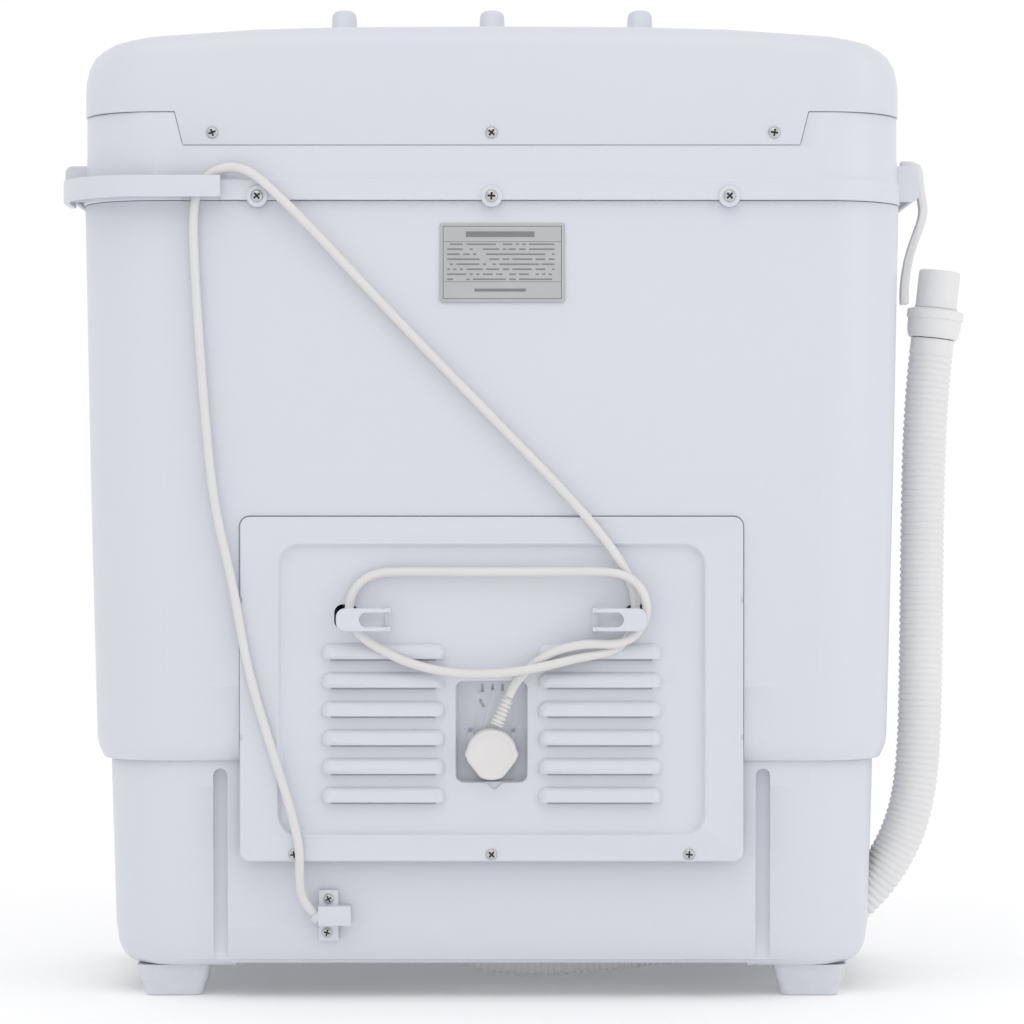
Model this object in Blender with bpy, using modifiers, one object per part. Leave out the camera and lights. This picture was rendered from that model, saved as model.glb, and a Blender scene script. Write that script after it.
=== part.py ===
"""Compact twin-tub washing machine: wash tub on the machine's left (-X), spin tub on its right (+X).

Metres, +Z up.  The user stands at -Y and the service side with the mains lead faces +Y.
The origin is on the floor, under the middle of the body.
"""
import math

import bmesh
import bpy
from mathutils import Matrix, Vector

# ---- driving dimensions -------------------------------------------------------------------
GAP = 0.0003                 # clearance that touching pieces keep
WALL = 0.003                 # moulded wall
BODY_Y = -0.004              # middle of the body's depth; the cord hooks reach further back

FOOT_TOP = 0.0217
BASE_BOTTOM = 0.022
BASE_TOP = 0.190
FLOOR_TOP = 0.086            # raised floor of the base, where the motors stand
CABINET_TOP = 0.5597
FRAME_BOTTOM = 0.560
DECK_TOP = 0.600
CHEEK_TOP = 0.6217           # raised ends of the deck under the control hood
HANDLE_X = 0.3045            # half of the overall width
DEPTH = 0.183                # half of the overall depth

WASH_X, WASH_Y = -0.113, -0.046
WASH_HALF_X, WASH_HALF_Y = 0.1435, 0.120
WASH_FLOOR = 0.220
SPIN_X, SPIN_Y = 0.152, -0.046
SPIN_R = 0.103
SPIN_FLOOR = 0.236
MOTOR_X, MOTOR_Y = 0.0, -0.075
VALVE_X, VALVE_Y = 0.110, 0.085
BELT_Z = 0.102

CONSOLE_FRONT = 0.052
CONSOLE_BACK = 0.1705
CONSOLE_TOP = 0.683
FASCIA_Y, FASCIA_Z = 0.100, 0.6603
FASCIA_SLOPE = 0.381
KNOBS = {"wash_timer": -0.106, "selector": 0.0, "spin_timer": 0.106}

LID_AXIS_Y, LID_AXIS_Z = 0.040, 0.606
LID_TOP = 0.6125
LIDS = {"wash": (-0.262, 0.034), "spin": (0.044, 0.262)}

PANEL_X, PANEL_LOW, PANEL_HIGH = 0.176, 0.098, 0.339
PANEL_Y = 0.1665             # outer face of the service panel's border
FIELD_Y = 0.1625             # outer face of its recessed field
HOOK_IN, HOOK_OUT = 0.1795, DEPTH
PLUG_Z = 0.173
PLUG_AXIS_Y = 0.1668         # where the lead enters the side of the plug

CORD_R = 0.0032
HOSE_R = 0.016
HOSE_Y = 0.075

# route of the mains lead, from the clamp to the plug
CORD_ROUTE = [
    (0.1228, 0.1600, 0.0600), (0.1277, 0.1606, 0.0645), (0.1313, 0.1624, 0.0702), (0.1333, 0.1648, 0.0766),
    (0.1339, 0.1676, 0.0835), (0.1339, 0.1698, 0.0910), (0.1337, 0.1706, 0.1000), (0.1340, 0.1704, 0.1120),
    (0.1440, 0.1703, 0.1485), (0.1600, 0.1703, 0.1972), (0.1718, 0.1703, 0.2391), (0.1781, 0.1702, 0.2809),
    (0.1878, 0.1700, 0.3227), (0.1945, 0.1700, 0.3530), (0.1997, 0.1703, 0.4064), (0.2044, 0.1706, 0.4691),
    (0.2073, 0.1710, 0.5179), (0.2080, 0.1713, 0.5430), (0.2071, 0.1715, 0.5575), (0.2050, 0.1715, 0.5665),
    (0.2005, 0.1716, 0.5742), (0.1938, 0.1720, 0.5799), (0.1855, 0.1732, 0.5828), (0.1768, 0.1746, 0.5826),
    (0.1685, 0.1756, 0.5795), (0.1600, 0.1760, 0.5730), (0.1525, 0.1759, 0.5662), (0.1400, 0.1753, 0.5545),
    (0.1200, 0.1725, 0.5343), (0.0780, 0.1710, 0.4890), (0.0220, 0.1705, 0.4310), (-0.0340, 0.1704, 0.3740),
    (-0.0620, 0.1706, 0.3440), (-0.0766, 0.1712, 0.3266), (-0.0880, 0.1704, 0.3110), (-0.0962, 0.1667, 0.2972),
    (-0.1003, 0.1661, 0.2840), (-0.1008, 0.1661, 0.2720), (-0.0990, 0.1663, 0.2610), (-0.0935, 0.1677, 0.2515),
    (-0.0845, 0.1714, 0.2452), (-0.0740, 0.1726, 0.2428), (-0.0600, 0.1731, 0.2405), (-0.0477, 0.1744, 0.2372),
    (-0.0265, 0.1772, 0.2326), (-0.0100, 0.1762, 0.2302), (0.0100, 0.1746, 0.2290), (0.0280, 0.1735, 0.2300),
    (0.0464, 0.1726, 0.2335), (0.0638, 0.1724, 0.2392), (0.0770, 0.1724, 0.2462), (0.0888, 0.1716, 0.2534),
    (0.0951, 0.1702, 0.2597), (0.0989, 0.1688, 0.2678), (0.0997, 0.1680, 0.2767), (0.0974, 0.1677, 0.2854),
    (0.0928, 0.1678, 0.2922), (0.0858, 0.1680, 0.2975), (0.0765, 0.1683, 0.3003), (0.0600, 0.1688, 0.3006),
    (0.0200, 0.1692, 0.3004), (-0.0200, 0.1700, 0.3004), (-0.0500, 0.1716, 0.3005), (-0.0700, 0.1730, 0.3007),
    (-0.0857, 0.1737, 0.3001), (-0.0941, 0.1738, 0.2978), (-0.1013, 0.1740, 0.2928), (-0.1063, 0.1742, 0.2857),
    (-0.1086, 0.1744, 0.2772), (-0.1078, 0.1746, 0.2685), (-0.1041, 0.1747, 0.2605), (-0.0980, 0.1749, 0.2544),
    (-0.0900, 0.1758, 0.2507), (-0.0826, 0.1760, 0.2500), (-0.0745, 0.1756, 0.2505), (-0.0640, 0.1746, 0.2502),
    (-0.0520, 0.1736, 0.2478), (-0.0430, 0.1730, 0.2448), (-0.0350, 0.1718, 0.2402), (-0.0265, 0.1683, 0.2338),
    (-0.0195, 0.1665, 0.2262), (-0.0148, 0.1665, 0.2195), (-0.0120, 0.1668, 0.2130),
]
# route of the drain hose, from the valve's outlet under the base and up the side to its cuff
HOSE_ROUTE = [
    (0.1100, 0.0850, 0.1514), (0.1096, 0.0850, 0.1400), (0.1049, 0.0848, 0.1180), (0.0931, 0.0838, 0.0900),
    (0.0698, 0.0815, 0.0600), (0.0367, 0.0785, 0.0360), (0.0060, 0.0760, 0.0248), (-0.0300, 0.0750, 0.0218),
    (-0.0680, 0.0750, 0.0240), (-0.1100, 0.0750, 0.0290), (-0.1500, 0.0750, 0.0330), (-0.1850, 0.0750, 0.0362),
    (-0.2150, 0.0750, 0.0390), (-0.2440, 0.0750, 0.0472), (-0.2690, 0.0750, 0.0655), (-0.2880, 0.0750, 0.0905),
    (-0.3004, 0.0750, 0.1170), (-0.3068, 0.0750, 0.1470), (-0.3095, 0.0750, 0.1850), (-0.3105, 0.0750, 0.2500),
    (-0.3112, 0.0750, 0.3300), (-0.3126, 0.0750, 0.3950), (-0.3152, 0.0750, 0.4350), (-0.3188, 0.0750, 0.4672),
]
HOSE_END = Vector(HOSE_ROUTE[-1])
HOSE_TILT = Vector((-0.108, 0.0, 1.0)).normalized()   # direction of the cuff and nozzle

parts = None
cutters = None


# ---- scene and materials -------------------------------------------------------------------
def new_collection(name):
    collection = bpy.data.collections.new(name)
    bpy.context.scene.collection.children.link(collection)
    return collection


def material(name, colour, roughness=0.4, metallic=0.0):
    found = bpy.data.materials.get(name)
    if found:
        return found
    made = bpy.data.materials.new(name)
    made.use_nodes = True
    shader = made.node_tree.nodes["Principled BSDF"]
    shader.inputs["Base Color"].default_value = (*colour, 1.0)
    shader.inputs["Roughness"].default_value = roughness
    shader.inputs["Metallic"].default_value = metallic
    made.diffuse_color = (*colour, 1.0)
    return made


def white():
    return material("white_moulding", (0.74, 0.76, 0.79), 0.38)


def off_white():
    return material("off_white_moulding", (0.68, 0.67, 0.65), 0.5)


def steel():
    return material("bright_steel", (0.62, 0.62, 0.63), 0.3, 1.0)


def dark_steel():
    return material("painted_steel", (0.20, 0.21, 0.23), 0.5, 0.6)


def rubber():
    return material("black_rubber", (0.05, 0.05, 0.055), 0.7)


def grey_plastic():
    return material("grey_moulding", (0.42, 0.44, 0.47), 0.45)


# ---- modelling helpers ---------------------------------------------------------------------
def as_object(name, mesh_maker, look, origin=(0, 0, 0), cutter=False):
    """An object whose mesh is made in world coordinates and then hung on its own origin."""
    bm = bmesh.new()
    mesh_maker(bm)
    bmesh.ops.recalc_face_normals(bm, faces=bm.faces[:])
    mesh = bpy.data.meshes.new(name)
    bm.to_mesh(mesh)
    bm.free()
    mesh.transform(Matrix.Translation(-Vector(origin)))
    made = bpy.data.objects.new(name, mesh)
    made.location = origin
    if look:
        mesh.materials.append(look)
    if cutter:
        cutters.objects.link(made)
        made.hide_render = True
        made.display_type = "WIRE"
    else:
        parts.objects.link(made)
    return made


def modifier(made, kind, **settings):
    added = made.modifiers.new(kind.lower(), kind)
    for key, value in settings.items():
        setattr(added, key, value)
    return added


def cut(made, tool):
    modifier(made, "BOOLEAN", operation="DIFFERENCE", object=tool, solver="EXACT")


def join(made, tool):
    modifier(made, "BOOLEAN", operation="UNION", object=tool, solver="EXACT")


def block(bm, low, high):
    """An axis-aligned box between two corners."""
    low, high = Vector(low), Vector(high)
    made = bmesh.ops.create_cube(bm, size=1.0)
    bmesh.ops.scale(bm, vec=high - low, verts=made["verts"])
    bmesh.ops.translate(bm, vec=(low + high) / 2, verts=made["verts"])
    return made["verts"]


def rod(bm, start, end, radius, end_radius=None, segments=20):
    """A round bar, straight or tapered, between two points."""
    start, end = Vector(start), Vector(end)
    along = end - start
    turn = along.to_track_quat("Z", "Y").to_matrix().to_4x4()
    place = Matrix.Translation((start + end) / 2) @ turn
    bmesh.ops.create_cone(bm, cap_ends=True, segments=segments, radius1=radius,
                          radius2=radius if end_radius is None else end_radius,
                          depth=along.length, matrix=place)


def rounded_rectangle(half_x, half_y, radius, steps=5):
    """Corner arcs of a rectangle, anticlockwise from +X."""
    points = []
    for quarter, (sx, sy) in enumerate([(1, 1), (-1, 1), (-1, -1), (1, -1)]):
        for step in range(steps + 1):
            angle = math.radians(90 * (quarter + step / steps))
            points.append((sx * (half_x - radius) + radius * math.cos(angle),
                           sy * (half_y - radius) + radius * math.sin(angle)))
    return points


def loft(bm, centre, sections, close_bottom=True, close_top=True, steps=5):
    """Skin of rounded rectangles (z, half_x, half_y, radius) stacked up the Z axis."""
    rings = []
    for z, half_x, half_y, radius in sections:
        outline = rounded_rectangle(half_x, half_y, radius, steps)
        rings.append([bm.verts.new((centre[0] + x, centre[1] + y, z)) for x, y in outline])
    for lower, upper in zip(rings, rings[1:]):
        for index in range(len(lower)):
            after = (index + 1) % len(lower)
            bm.faces.new((lower[index], lower[after], upper[after], upper[index]))
    if close_bottom:
        bm.faces.new(list(reversed(rings[0])))
    if close_top:
        bm.faces.new(rings[-1])


def prism(bm, outline, low, high, axis="Z"):
    """A flat outline pushed along an axis: (x, y) along Z, (x, z) along Y or (y, z) along X."""
    def place(pair, level):
        if axis == "Z":
            return (pair[0], pair[1], level)
        if axis == "Y":
            return (pair[0], level, pair[1])
        return (level, pair[0], pair[1])
    first = [bm.verts.new(place(pair, low)) for pair in outline]
    last = [bm.verts.new(place(pair, high)) for pair in outline]
    bm.faces.new(first)
    bm.faces.new(list(reversed(last)))
    for index in range(len(outline)):
        after = (index + 1) % len(outline)
        bm.faces.new((first[index], last[index], last[after], first[after]))


def boxes(name, corners, look=None, cutter=True):
    """One object of several separate boxes, used as a cutter or joined to a larger piece."""
    def make(bm):
        for low, high in corners:
            block(bm, low, high)
    return as_object(name, make, look, cutter=cutter)


def turned(name, profile, centre, look, segments=32, direction=(0, 0, 1)):
    """A closed (radius, height) profile, listed down its outer side first, turned about an axis."""
    mesh = bpy.data.meshes.new(name)
    verts = [(radius, 0.0, height) for radius, height in profile]
    edges = [(i, (i + 1) % len(verts)) for i in range(len(verts))]
    edges = [(i, j) for i, j in edges if profile[i][0] > 0 or profile[j][0] > 0]
    mesh.from_pydata(verts, edges, [])
    mesh.materials.append(look)
    made = bpy.data.objects.new(name, mesh)
    made.location = centre
    made.rotation_euler = Vector(direction).to_track_quat("Z", "Y").to_euler()
    parts.objects.link(made)
    modifier(made, "SCREW", steps=segments, render_steps=segments, use_merge_vertices=True,
             merge_threshold=0.00001)
    return made


def smooth_route(points, bend_step, straight_step):
    """Cubic B-spline along the points, read finely in bends and coarsely on straight runs."""
    points = [Vector(point) for point in points]
    ends = [points[0] * 2 - points[1]] + points + [points[-1] * 2 - points[-2]]
    fine = []
    for a, b, c, d in zip(ends, ends[1:], ends[2:], ends[3:]):
        for step in range(40):
            t = step / 40
            fine.append((a * (1 - t) ** 3 + b * (3 * t ** 3 - 6 * t ** 2 + 4)
                         + c * (-3 * t ** 3 + 3 * t ** 2 + 3 * t + 1) + d * t ** 3) / 6)
    fine.append(points[-1])
    taken = [fine[0]]
    travelled, turned_by = 0.0, 0.0
    for before, here, after in zip(fine, fine[1:], fine[2:]):
        travelled += (here - before).length
        turned_by += (here - before).angle(after - here, 0.0)
        if travelled >= straight_step or (turned_by > 0.30 and travelled >= bend_step):
            taken.append(here)
            travelled, turned_by = 0.0, 0.0
    if (taken[-1] - fine[-1]).length < bend_step * 0.6:
        taken.pop()
    taken.append(fine[-1])
    return taken


def tube(name, points, radius, look, sides=2):
    curve = bpy.data.curves.new(name, "CURVE")
    curve.dimensions = "3D"
    curve.bevel_depth = radius
    curve.bevel_resolution = sides
    curve.use_fill_caps = True
    line = curve.splines.new("POLY")
    line.points.add(len(points) - 1)
    for point, place in zip(line.points, points):
        point.co = (*place, 1.0)
    curve.materials.append(look)
    made = bpy.data.objects.new(name, curve)
    parts.objects.link(made)
    return made


# ---- base and cabinet ----------------------------------------------------------------------
BASE_SECTIONS = [
    (BASE_BOTTOM, 0.2555, 0.1430, 0.036), (0.027, 0.2620, 0.1490, 0.042), (0.036, 0.2665, 0.1525, 0.045),
    (0.050, 0.2685, 0.1545, 0.047), (0.150, 0.2715, 0.1570, 0.048), (BASE_TOP, 0.2725, 0.1575, 0.048)]
CABINET_SECTIONS = [
    (0.1675, 0.2765, 0.1605, 0.050), (0.1800, 0.2815, 0.1655, 0.055), (0.3700, 0.2865, 0.1680, 0.056),
    (CABINET_TOP, 0.2900, 0.1700, 0.056)]


def inset(sections, by):
    return [(z, half_x - by, half_y - by, radius - by) for z, half_x, half_y, radius in sections]


def build_base():
    base = as_object("base_housing", lambda bm: loft(bm, (0, BODY_Y), BASE_SECTIONS), white())
    room = inset(BASE_SECTIONS[4:], WALL)
    room = [(FLOOR_TOP, room[0][1] - 0.001, room[0][2] - 0.001, room[0][3])] + [(0.20, *room[-1][1:])]
    cut(base, as_object("base_room", lambda bm: loft(bm, (0, BODY_Y), room), None, cutter=True))
    pockets = []
    for sx in (-1, 1):
        for sy in (-1, 1):
            near, far = sorted((sx * 0.1985, sx * 0.2510))
            low, high = sorted((BODY_Y + sy * 0.1025, BODY_Y + sy * 0.1370))
            pockets.append(((near, low, 0.0300), (far, high, FLOOR_TOP + 0.002)))
    cut(base, boxes("foot_pockets", pockets))
    tunnel = [((-0.1800, -0.1500, 0.0), (0.1800, 0.1420, FLOOR_TOP - WALL)),
              ((-0.2640, BODY_Y - 0.0995, 0.0), (0.2640, BODY_Y + 0.0995, FLOOR_TOP - WALL))]
    for index, corners in enumerate(tunnel):
        cut(base, boxes(f"base_tunnel_{index}", [corners]))
    grooves, backs = [], []
    for sx in (-1, 1):
        low, high = sorted((sx * 0.1855, sx * 0.1955))
        grooves.append(((low, 0.1375, 0.0), (high, 0.2, 0.1570)))
        backs.append(((low - WALL, 0.1340, FLOOR_TOP - 0.001), (high + WALL, 0.1510, 0.1650)))
    join(base, boxes("groove_backs", backs))
    cut(base, boxes("base_grooves", grooves))

    def groove_tops(bm):
        for sx in (-1, 1):
            rod(bm, (sx * 0.1905, 0.1375, 0.1570), (sx * 0.1905, 0.2, 0.1570), 0.005, segments=16)
    cut(base, as_object("groove_tops", groove_tops, None, cutter=True))
    window = [((-0.1640, 0.12, 0.1130), (0.1640, 0.2, 0.25))]
    cut(base, boxes("base_window", window))
    hose_ways = [((-0.30, HOSE_Y - 0.0185, -0.01), (-0.2560, HOSE_Y + 0.0185, 0.1000)),
                 ((0.0620, VALVE_Y - 0.0210, 0.07), (0.1300, VALVE_Y + 0.0210, 0.10))]
    cut(base, boxes("hose_ways", hose_ways))
    cut(base, as_object("lead_hole", lambda bm: rod(bm, (0.1040, 0.13, 0.0595), (0.1040, 0.17, 0.0595), 0.0045),
                        None, cutter=True))

    feet = [("rear", 0.1180), ("front", -0.1180)]
    for side, foot_x in (("left", -0.2255), ("right", 0.2255)):
        for place, foot_y in feet:
            shape = [(0.0, 0.0200, 0.0165, 0.005), (FOOT_TOP, 0.0260, 0.0190, 0.006)]
            as_object(f"foot_{place}_{side}",
                      lambda bm: loft(bm, (foot_x, BODY_Y + foot_y), shape, steps=3),
                      rubber_grey(), origin=(foot_x, BODY_Y + foot_y, 0.0))


def rubber_grey():
    return material("foot_moulding", (0.60, 0.61, 0.62), 0.6)


def build_cabinet():
    cabinet = as_object("cabinet", lambda bm: loft(bm, (0, BODY_Y), CABINET_SECTIONS,
                                                   close_bottom=False, close_top=False), white())
    modifier(cabinet, "SOLIDIFY", thickness=WALL, offset=-1.0, use_even_offset=True)
    cut(cabinet, boxes("cabinet_window", [((-PANEL_X - GAP, 0.10, 0.10), (PANEL_X + GAP, 0.2, PANEL_HIGH + GAP))]))


# ---- top frame -------------------------------------------------------------------------------
def build_top_frame():
    band = [(FRAME_BOTTOM, 0.2905, 0.1745, 0.058), (0.5750, 0.2905, 0.1745, 0.058),
            (0.5770, 0.2890, 0.1722, 0.056), (0.5960, 0.2885, 0.1718, 0.056), (DECK_TOP, 0.2855, 0.1690, 0.053)]
    frame = as_object("top_frame", lambda bm: loft(bm, (0, BODY_Y), band), white())

    raised = [(DECK_TOP - 0.004, 0.2852, 0.1688, 0.053), (CHEEK_TOP, 0.2852, 0.1688, 0.053)]
    cheeks = as_object("deck_cheeks", lambda bm: loft(bm, (0, BODY_Y), raised), None, cutter=True)
    cut(cheeks, boxes("between_cheeks", [((-0.2220, -0.3, 0.59), (0.2220, 0.3, 0.63))]))
    cut(cheeks, boxes("before_cheeks", [((-0.3, -0.3, 0.59), (0.3, CONSOLE_FRONT + 0.002, 0.63))]))
    join(frame, cheeks)

    inner = [(0.55, 0.2870, 0.1665, 0.050), (DECK_TOP - WALL, 0.2830, 0.1650, 0.048)]
    cut(frame, as_object("frame_room", lambda bm: loft(bm, (0, BODY_Y), inner), None, cutter=True))
    hollow = [(0.59, 0.2822, 0.1658, 0.050), (CHEEK_TOP - WALL, 0.2822, 0.1658, 0.050)]
    rooms = as_object("cheek_rooms", lambda bm: loft(bm, (0, BODY_Y), hollow), None, cutter=True)
    cut(rooms, boxes("between_rooms", [((-0.2250, -0.3, 0.58), (0.2250, 0.3, 0.63))]))
    cut(rooms, boxes("before_rooms", [((-0.3, -0.3, 0.58), (0.3, 0.0570, 0.63))]))
    cut(frame, rooms)

    opening = [(0.59, 0.1350, 0.0890, 0.045), (0.61, 0.1350, 0.0890, 0.045)]
    cut(frame, as_object("wash_opening", lambda bm: loft(bm, (WASH_X, -0.0620), opening), None, cutter=True))
    cut(frame, as_object("spin_opening", lambda bm: rod(bm, (SPIN_X, -0.0620, 0.59), (SPIN_X, -0.0620, 0.61),
                                                        0.088, segments=32), None, cutter=True))
    cut(frame, boxes("console_opening", [((-0.2100, 0.0760, 0.59), (0.2100, 0.1480, 0.61))]))

    # side handles: a ledge with a turned-down lip; the right one runs on round the rear corner
    for title, inner_x, low_z, high_z in (("handle_ledges", 0.2880, 0.5830, 0.5890),
                                          ("handle_lips", HANDLE_X - WALL, 0.5660, 0.5845)):
        corners = []
        for sx in (-1, 1):
            near, far = sorted((sx * inner_x, sx * HANDLE_X))
            corners.append(((near, -0.1000, low_z), (far, 0.1120, high_z)))
        join(frame, boxes(title, corners))

    def corner_lip(bm):
        reach, back, radius = HANDLE_X, 0.1805, 0.062
        outer, within = [], []
        for step in range(9):
            angle = math.radians(90 * step / 8)
            along = Vector((math.cos(angle), math.sin(angle)))
            middle = Vector((reach - radius, back - radius))
            outer.append(middle + along * radius)
            within.append(middle + along * (radius - 0.004))
        ring = [Vector((reach, 0.08))] + outer + [Vector((0.1885, back)), Vector((0.1885, back - 0.004))]
        ring += list(reversed(within)) + [Vector((reach - 0.004, 0.08))]
        prism(bm, [tuple(point) for point in ring], 0.5615, 0.5765)
    join(frame, as_object("corner_lip", corner_lip, None, cutter=True))

    # the lead passes between the lip and the frame, so the band is set back there
    cut(frame, boxes("lead_recess", [((0.1880, 0.1665, 0.55), (0.2360, 0.1762, 0.5815))]))

    def bosses(bm):
        for x in (-0.1660, 0.0, 0.1635):
            rod(bm, (x, 0.1664 + GAP, 0.5625), (x, 0.1722, 0.5625), 0.0075, segments=20)
    join(frame, as_object("rim_bosses", bosses, None, cutter=True))
    front = [((-0.0600, -DEPTH, 0.5640), (0.0600, -0.1770, 0.5740))]
    join(frame, boxes("front_grip", front))

    posts = []
    for low, high in LIDS.values():
        for x in (low + 0.0005, high - 0.0085):
            posts.append(((x, LID_AXIS_Y - 0.006, DECK_TOP - 0.001), (x + 0.008, LID_AXIS_Y + 0.006, 0.6112)))
    join(frame, boxes("hinge_posts", posts))

    def pin_holes(bm):
        for low, high in LIDS.values():
            rod(bm, (low - 0.005, LID_AXIS_Y, LID_AXIS_Z), (high + 0.005, LID_AXIS_Y, LID_AXIS_Z), 0.0023, segments=12)
    cut(frame, as_object("pin_holes", pin_holes, None, cutter=True))


# ---- lids ------------------------------------------------------------------------------------
def build_lids():
    for name, (low, high) in LIDS.items():
        centre = ((low + high) / 2, (LID_AXIS_Y - 0.1685) / 2)
        half_x, half_y = (high - low) / 2, (LID_AXIS_Y + 0.1685) / 2
        shape = [(DECK_TOP + GAP, half_x, half_y, 0.012), (LID_TOP - 0.003, half_x, half_y, 0.012),
                 (LID_TOP, half_x - 0.004, half_y - 0.004, 0.010)]
        axis = ((low + high) / 2, LID_AXIS_Y, LID_AXIS_Z)
        lid = as_object(f"{name}_lid", lambda bm: loft(bm, centre, shape, steps=3), white(), origin=axis)
        hollow = [(0.59, half_x - WALL, half_y - 0.0095, 0.010), (LID_TOP - WALL, half_x - WALL, half_y - 0.0095, 0.010)]
        cut(lid, as_object(f"{name}_lid_hollow", lambda bm: loft(bm, centre, hollow, steps=3), None, cutter=True))
        cut(lid, boxes(f"{name}_lid_notches", [
            ((low - 0.01, LID_AXIS_Y - 0.0105, 0.59), (low + 0.0090, 0.06, 0.62)),
            ((high - 0.0090, LID_AXIS_Y - 0.0105, 0.59), (high + 0.01, 0.06, 0.62))]))
        cut(lid, as_object(f"{name}_lid_bore", lambda bm: rod(
            bm, (low, LID_AXIS_Y - 0.0004, LID_AXIS_Z), (high, LID_AXIS_Y - 0.0004, LID_AXIS_Z), 0.0027, segments=12),
            None, cutter=True))
        as_object(f"{name}_lid_pin", lambda bm: rod(
            bm, (low + 0.0015, LID_AXIS_Y, LID_AXIS_Z), (high - 0.0015, LID_AXIS_Y, LID_AXIS_Z), 0.0020, segments=12),
            steel(), origin=axis)


# ---- console ---------------------------------------------------------------------------------
# half width, height of the ridge, and how far the rounded corner has brought the back forward
HOOD_STATIONS = [(0.2875, 0.6480, 0.0500), (0.2868, 0.6510, 0.0417), (0.2840, 0.6570, 0.0316),
                 (0.2790, 0.6630, 0.0221), (0.2720, 0.6672, 0.0138), (0.2630, 0.6710, 0.0070),
                 (0.2520, 0.6733, 0.0022), (0.2375, 0.6756, 0.0), (0.2270, 0.6765, 0.0),
                 (0.1635, 0.6808, 0.0), (0.1000, 0.6825, 0.0), (0.0000, CONSOLE_TOP, 0.0)]


def hood_profile(top, drawn_in, low, shrink):
    """Section of the hood across Y; the slope under the fascia is the same plane nearly to the ends."""
    slope = FASCIA_Z - shrink + min(0.0, top - 0.6745)
    back, front = CONSOLE_BACK - drawn_in - shrink, CONSOLE_FRONT + shrink

    def on_slope(y):
        return slope + (y - FASCIA_Y) * FASCIA_SLOPE
    top = top - shrink
    return [(back, low), (back, top - 0.016), (back - 0.004, top - 0.0055), (back - 0.012, top),
            (back - 0.0205, top), (back - 0.0290, on_slope(back - 0.0290)), (front + 0.006, on_slope(front + 0.006)),
            (front, on_slope(front) - 0.005), (front, low)]


def hood_skin(bm, shrink, low):
    half = [(x - shrink * x / HOOD_STATIONS[0][0], top, drawn_in) for x, top, drawn_in in HOOD_STATIONS]
    stations = [(-x, top, drawn_in) for x, top, drawn_in in half] + list(reversed(half[:-1]))
    rings = [[bm.verts.new((x, y, z)) for y, z in hood_profile(top, drawn_in, low, shrink)]
             for x, top, drawn_in in stations]
    for first, second in zip(rings, rings[1:]):
        for index in range(len(first)):
            after = (index + 1) % len(first)
            bm.faces.new((first[index], first[after], second[after], second[index]))
    bm.faces.new(rings[0])
    bm.faces.new(list(reversed(rings[-1])))


def fascia_place(x=0.0):
    """Frame on the sloping fascia: its Z is the fascia's normal."""
    return Matrix.Translation((x, FASCIA_Y, FASCIA_Z)) @ Matrix.Rotation(math.atan(FASCIA_SLOPE), 4, "X")


def on_fascia(maker, x=0.0):
    def make(bm):
        maker(bm)
        bmesh.ops.transform(bm, matrix=fascia_place(x), verts=bm.verts[:])
    return make


def build_console():
    low = DECK_TOP - 0.0017
    hood = as_object("control_hood", lambda bm: hood_skin(bm, 0.0, low), white())
    cut(hood, as_object("hood_room", lambda bm: hood_skin(bm, WALL, 0.58), None, cutter=True))

    def shoulders(bm):
        for sx in (-1, 1):
            outline = [(sx * 0.2155, 0.58), (sx * 0.2155, low + 0.001), (sx * 0.2212, CHEEK_TOP + GAP),
                       (sx * 0.30, CHEEK_TOP + GAP), (sx * 0.30, 0.58)]
            prism(bm, outline, 0.04, 0.20, "Y")
    cut(hood, as_object("hood_shoulders", shoulders, None, cutter=True))
    cut(hood, boxes("hood_foot", [((-0.23, 0.04, 0.58), (0.23, 0.1645, DECK_TOP + GAP))]))
    cut(hood, boxes("hood_seat", [((-0.2050, 0.0705, 0.62), (0.2050, 0.1295, 0.70))]))

    def plate(bm):
        block(bm, (-0.2120, -0.0385, GAP), (0.2120, 0.0385, 0.0023))
    fascia = as_object("control_panel", on_fascia(plate), grey_plastic())

    for name, x in KNOBS.items():
        cut(fascia, as_object(f"{name}_hole", on_fascia(lambda bm: rod(bm, (0, 0, -0.01), (0, 0, 0.01), 0.0036), x),
                              None, cutter=True))
        origin = fascia_place(x) @ Vector((0, 0, 0.003))
        knob = as_object(f"{name}_knob", on_fascia(lambda bm: rod(bm, (0, 0, 0.0026), (0, 0, 0.0095), 0.0195, 0.0180,
                                                                  segments=28), x), white(), origin=origin)

        def grip(bm):
            verts = block(bm, (-0.0090, -0.0180, 0.006), (0.0090, 0.0180, 0.0358))
            for vert in verts:
                if vert.co.z > 0.02:
                    vert.co.x *= 0.82
                    vert.co.y *= 0.95
        join(knob, as_object(f"{name}_grip", on_fascia(grip, x), None, cutter=True))
        cut(knob, as_object(f"{name}_bore", on_fascia(lambda bm: rod(bm, (0, 0, -0.01), (0, 0, 0.0200), 0.0033), x),
                            None, cutter=True))
        as_object(f"{name}_shaft", on_fascia(lambda bm: rod(bm, (0, 0, GAP), (0, 0, 0.0196), 0.0030, segments=14), x),
                  steel(), origin=origin)

        def body(bm):
            if name == "selector":
                block(bm, (-0.020, -0.018, -0.026), (0.020, 0.018, 0.0))
            else:
                rod(bm, (0, 0, -0.030), (0, 0, 0.0), 0.027, segments=24)
        switch = "selector_switch" if name == "selector" else name
        as_object(switch, on_fascia(body, x), grey_plastic(), origin=fascia_place(x).translation)

    for index, x in enumerate((0.1950, 0.0, -0.1975)):
        centre = (x, CONSOLE_BACK + GAP, 0.6070)
        screw(f"hood_screw_{index + 1}", centre)


def screw(name, centre):
    """A cross-head screw's domed head, its axis along +Y."""
    x, y, z = centre
    turned(name, [(0, 0.0026), (0.0022, 0.0024), (0.0040, 0.0014), (0.0046, 0.0), (0, 0)], (x, y, z), steel(),
           segments=14, direction=(0, 1, 0))


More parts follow.
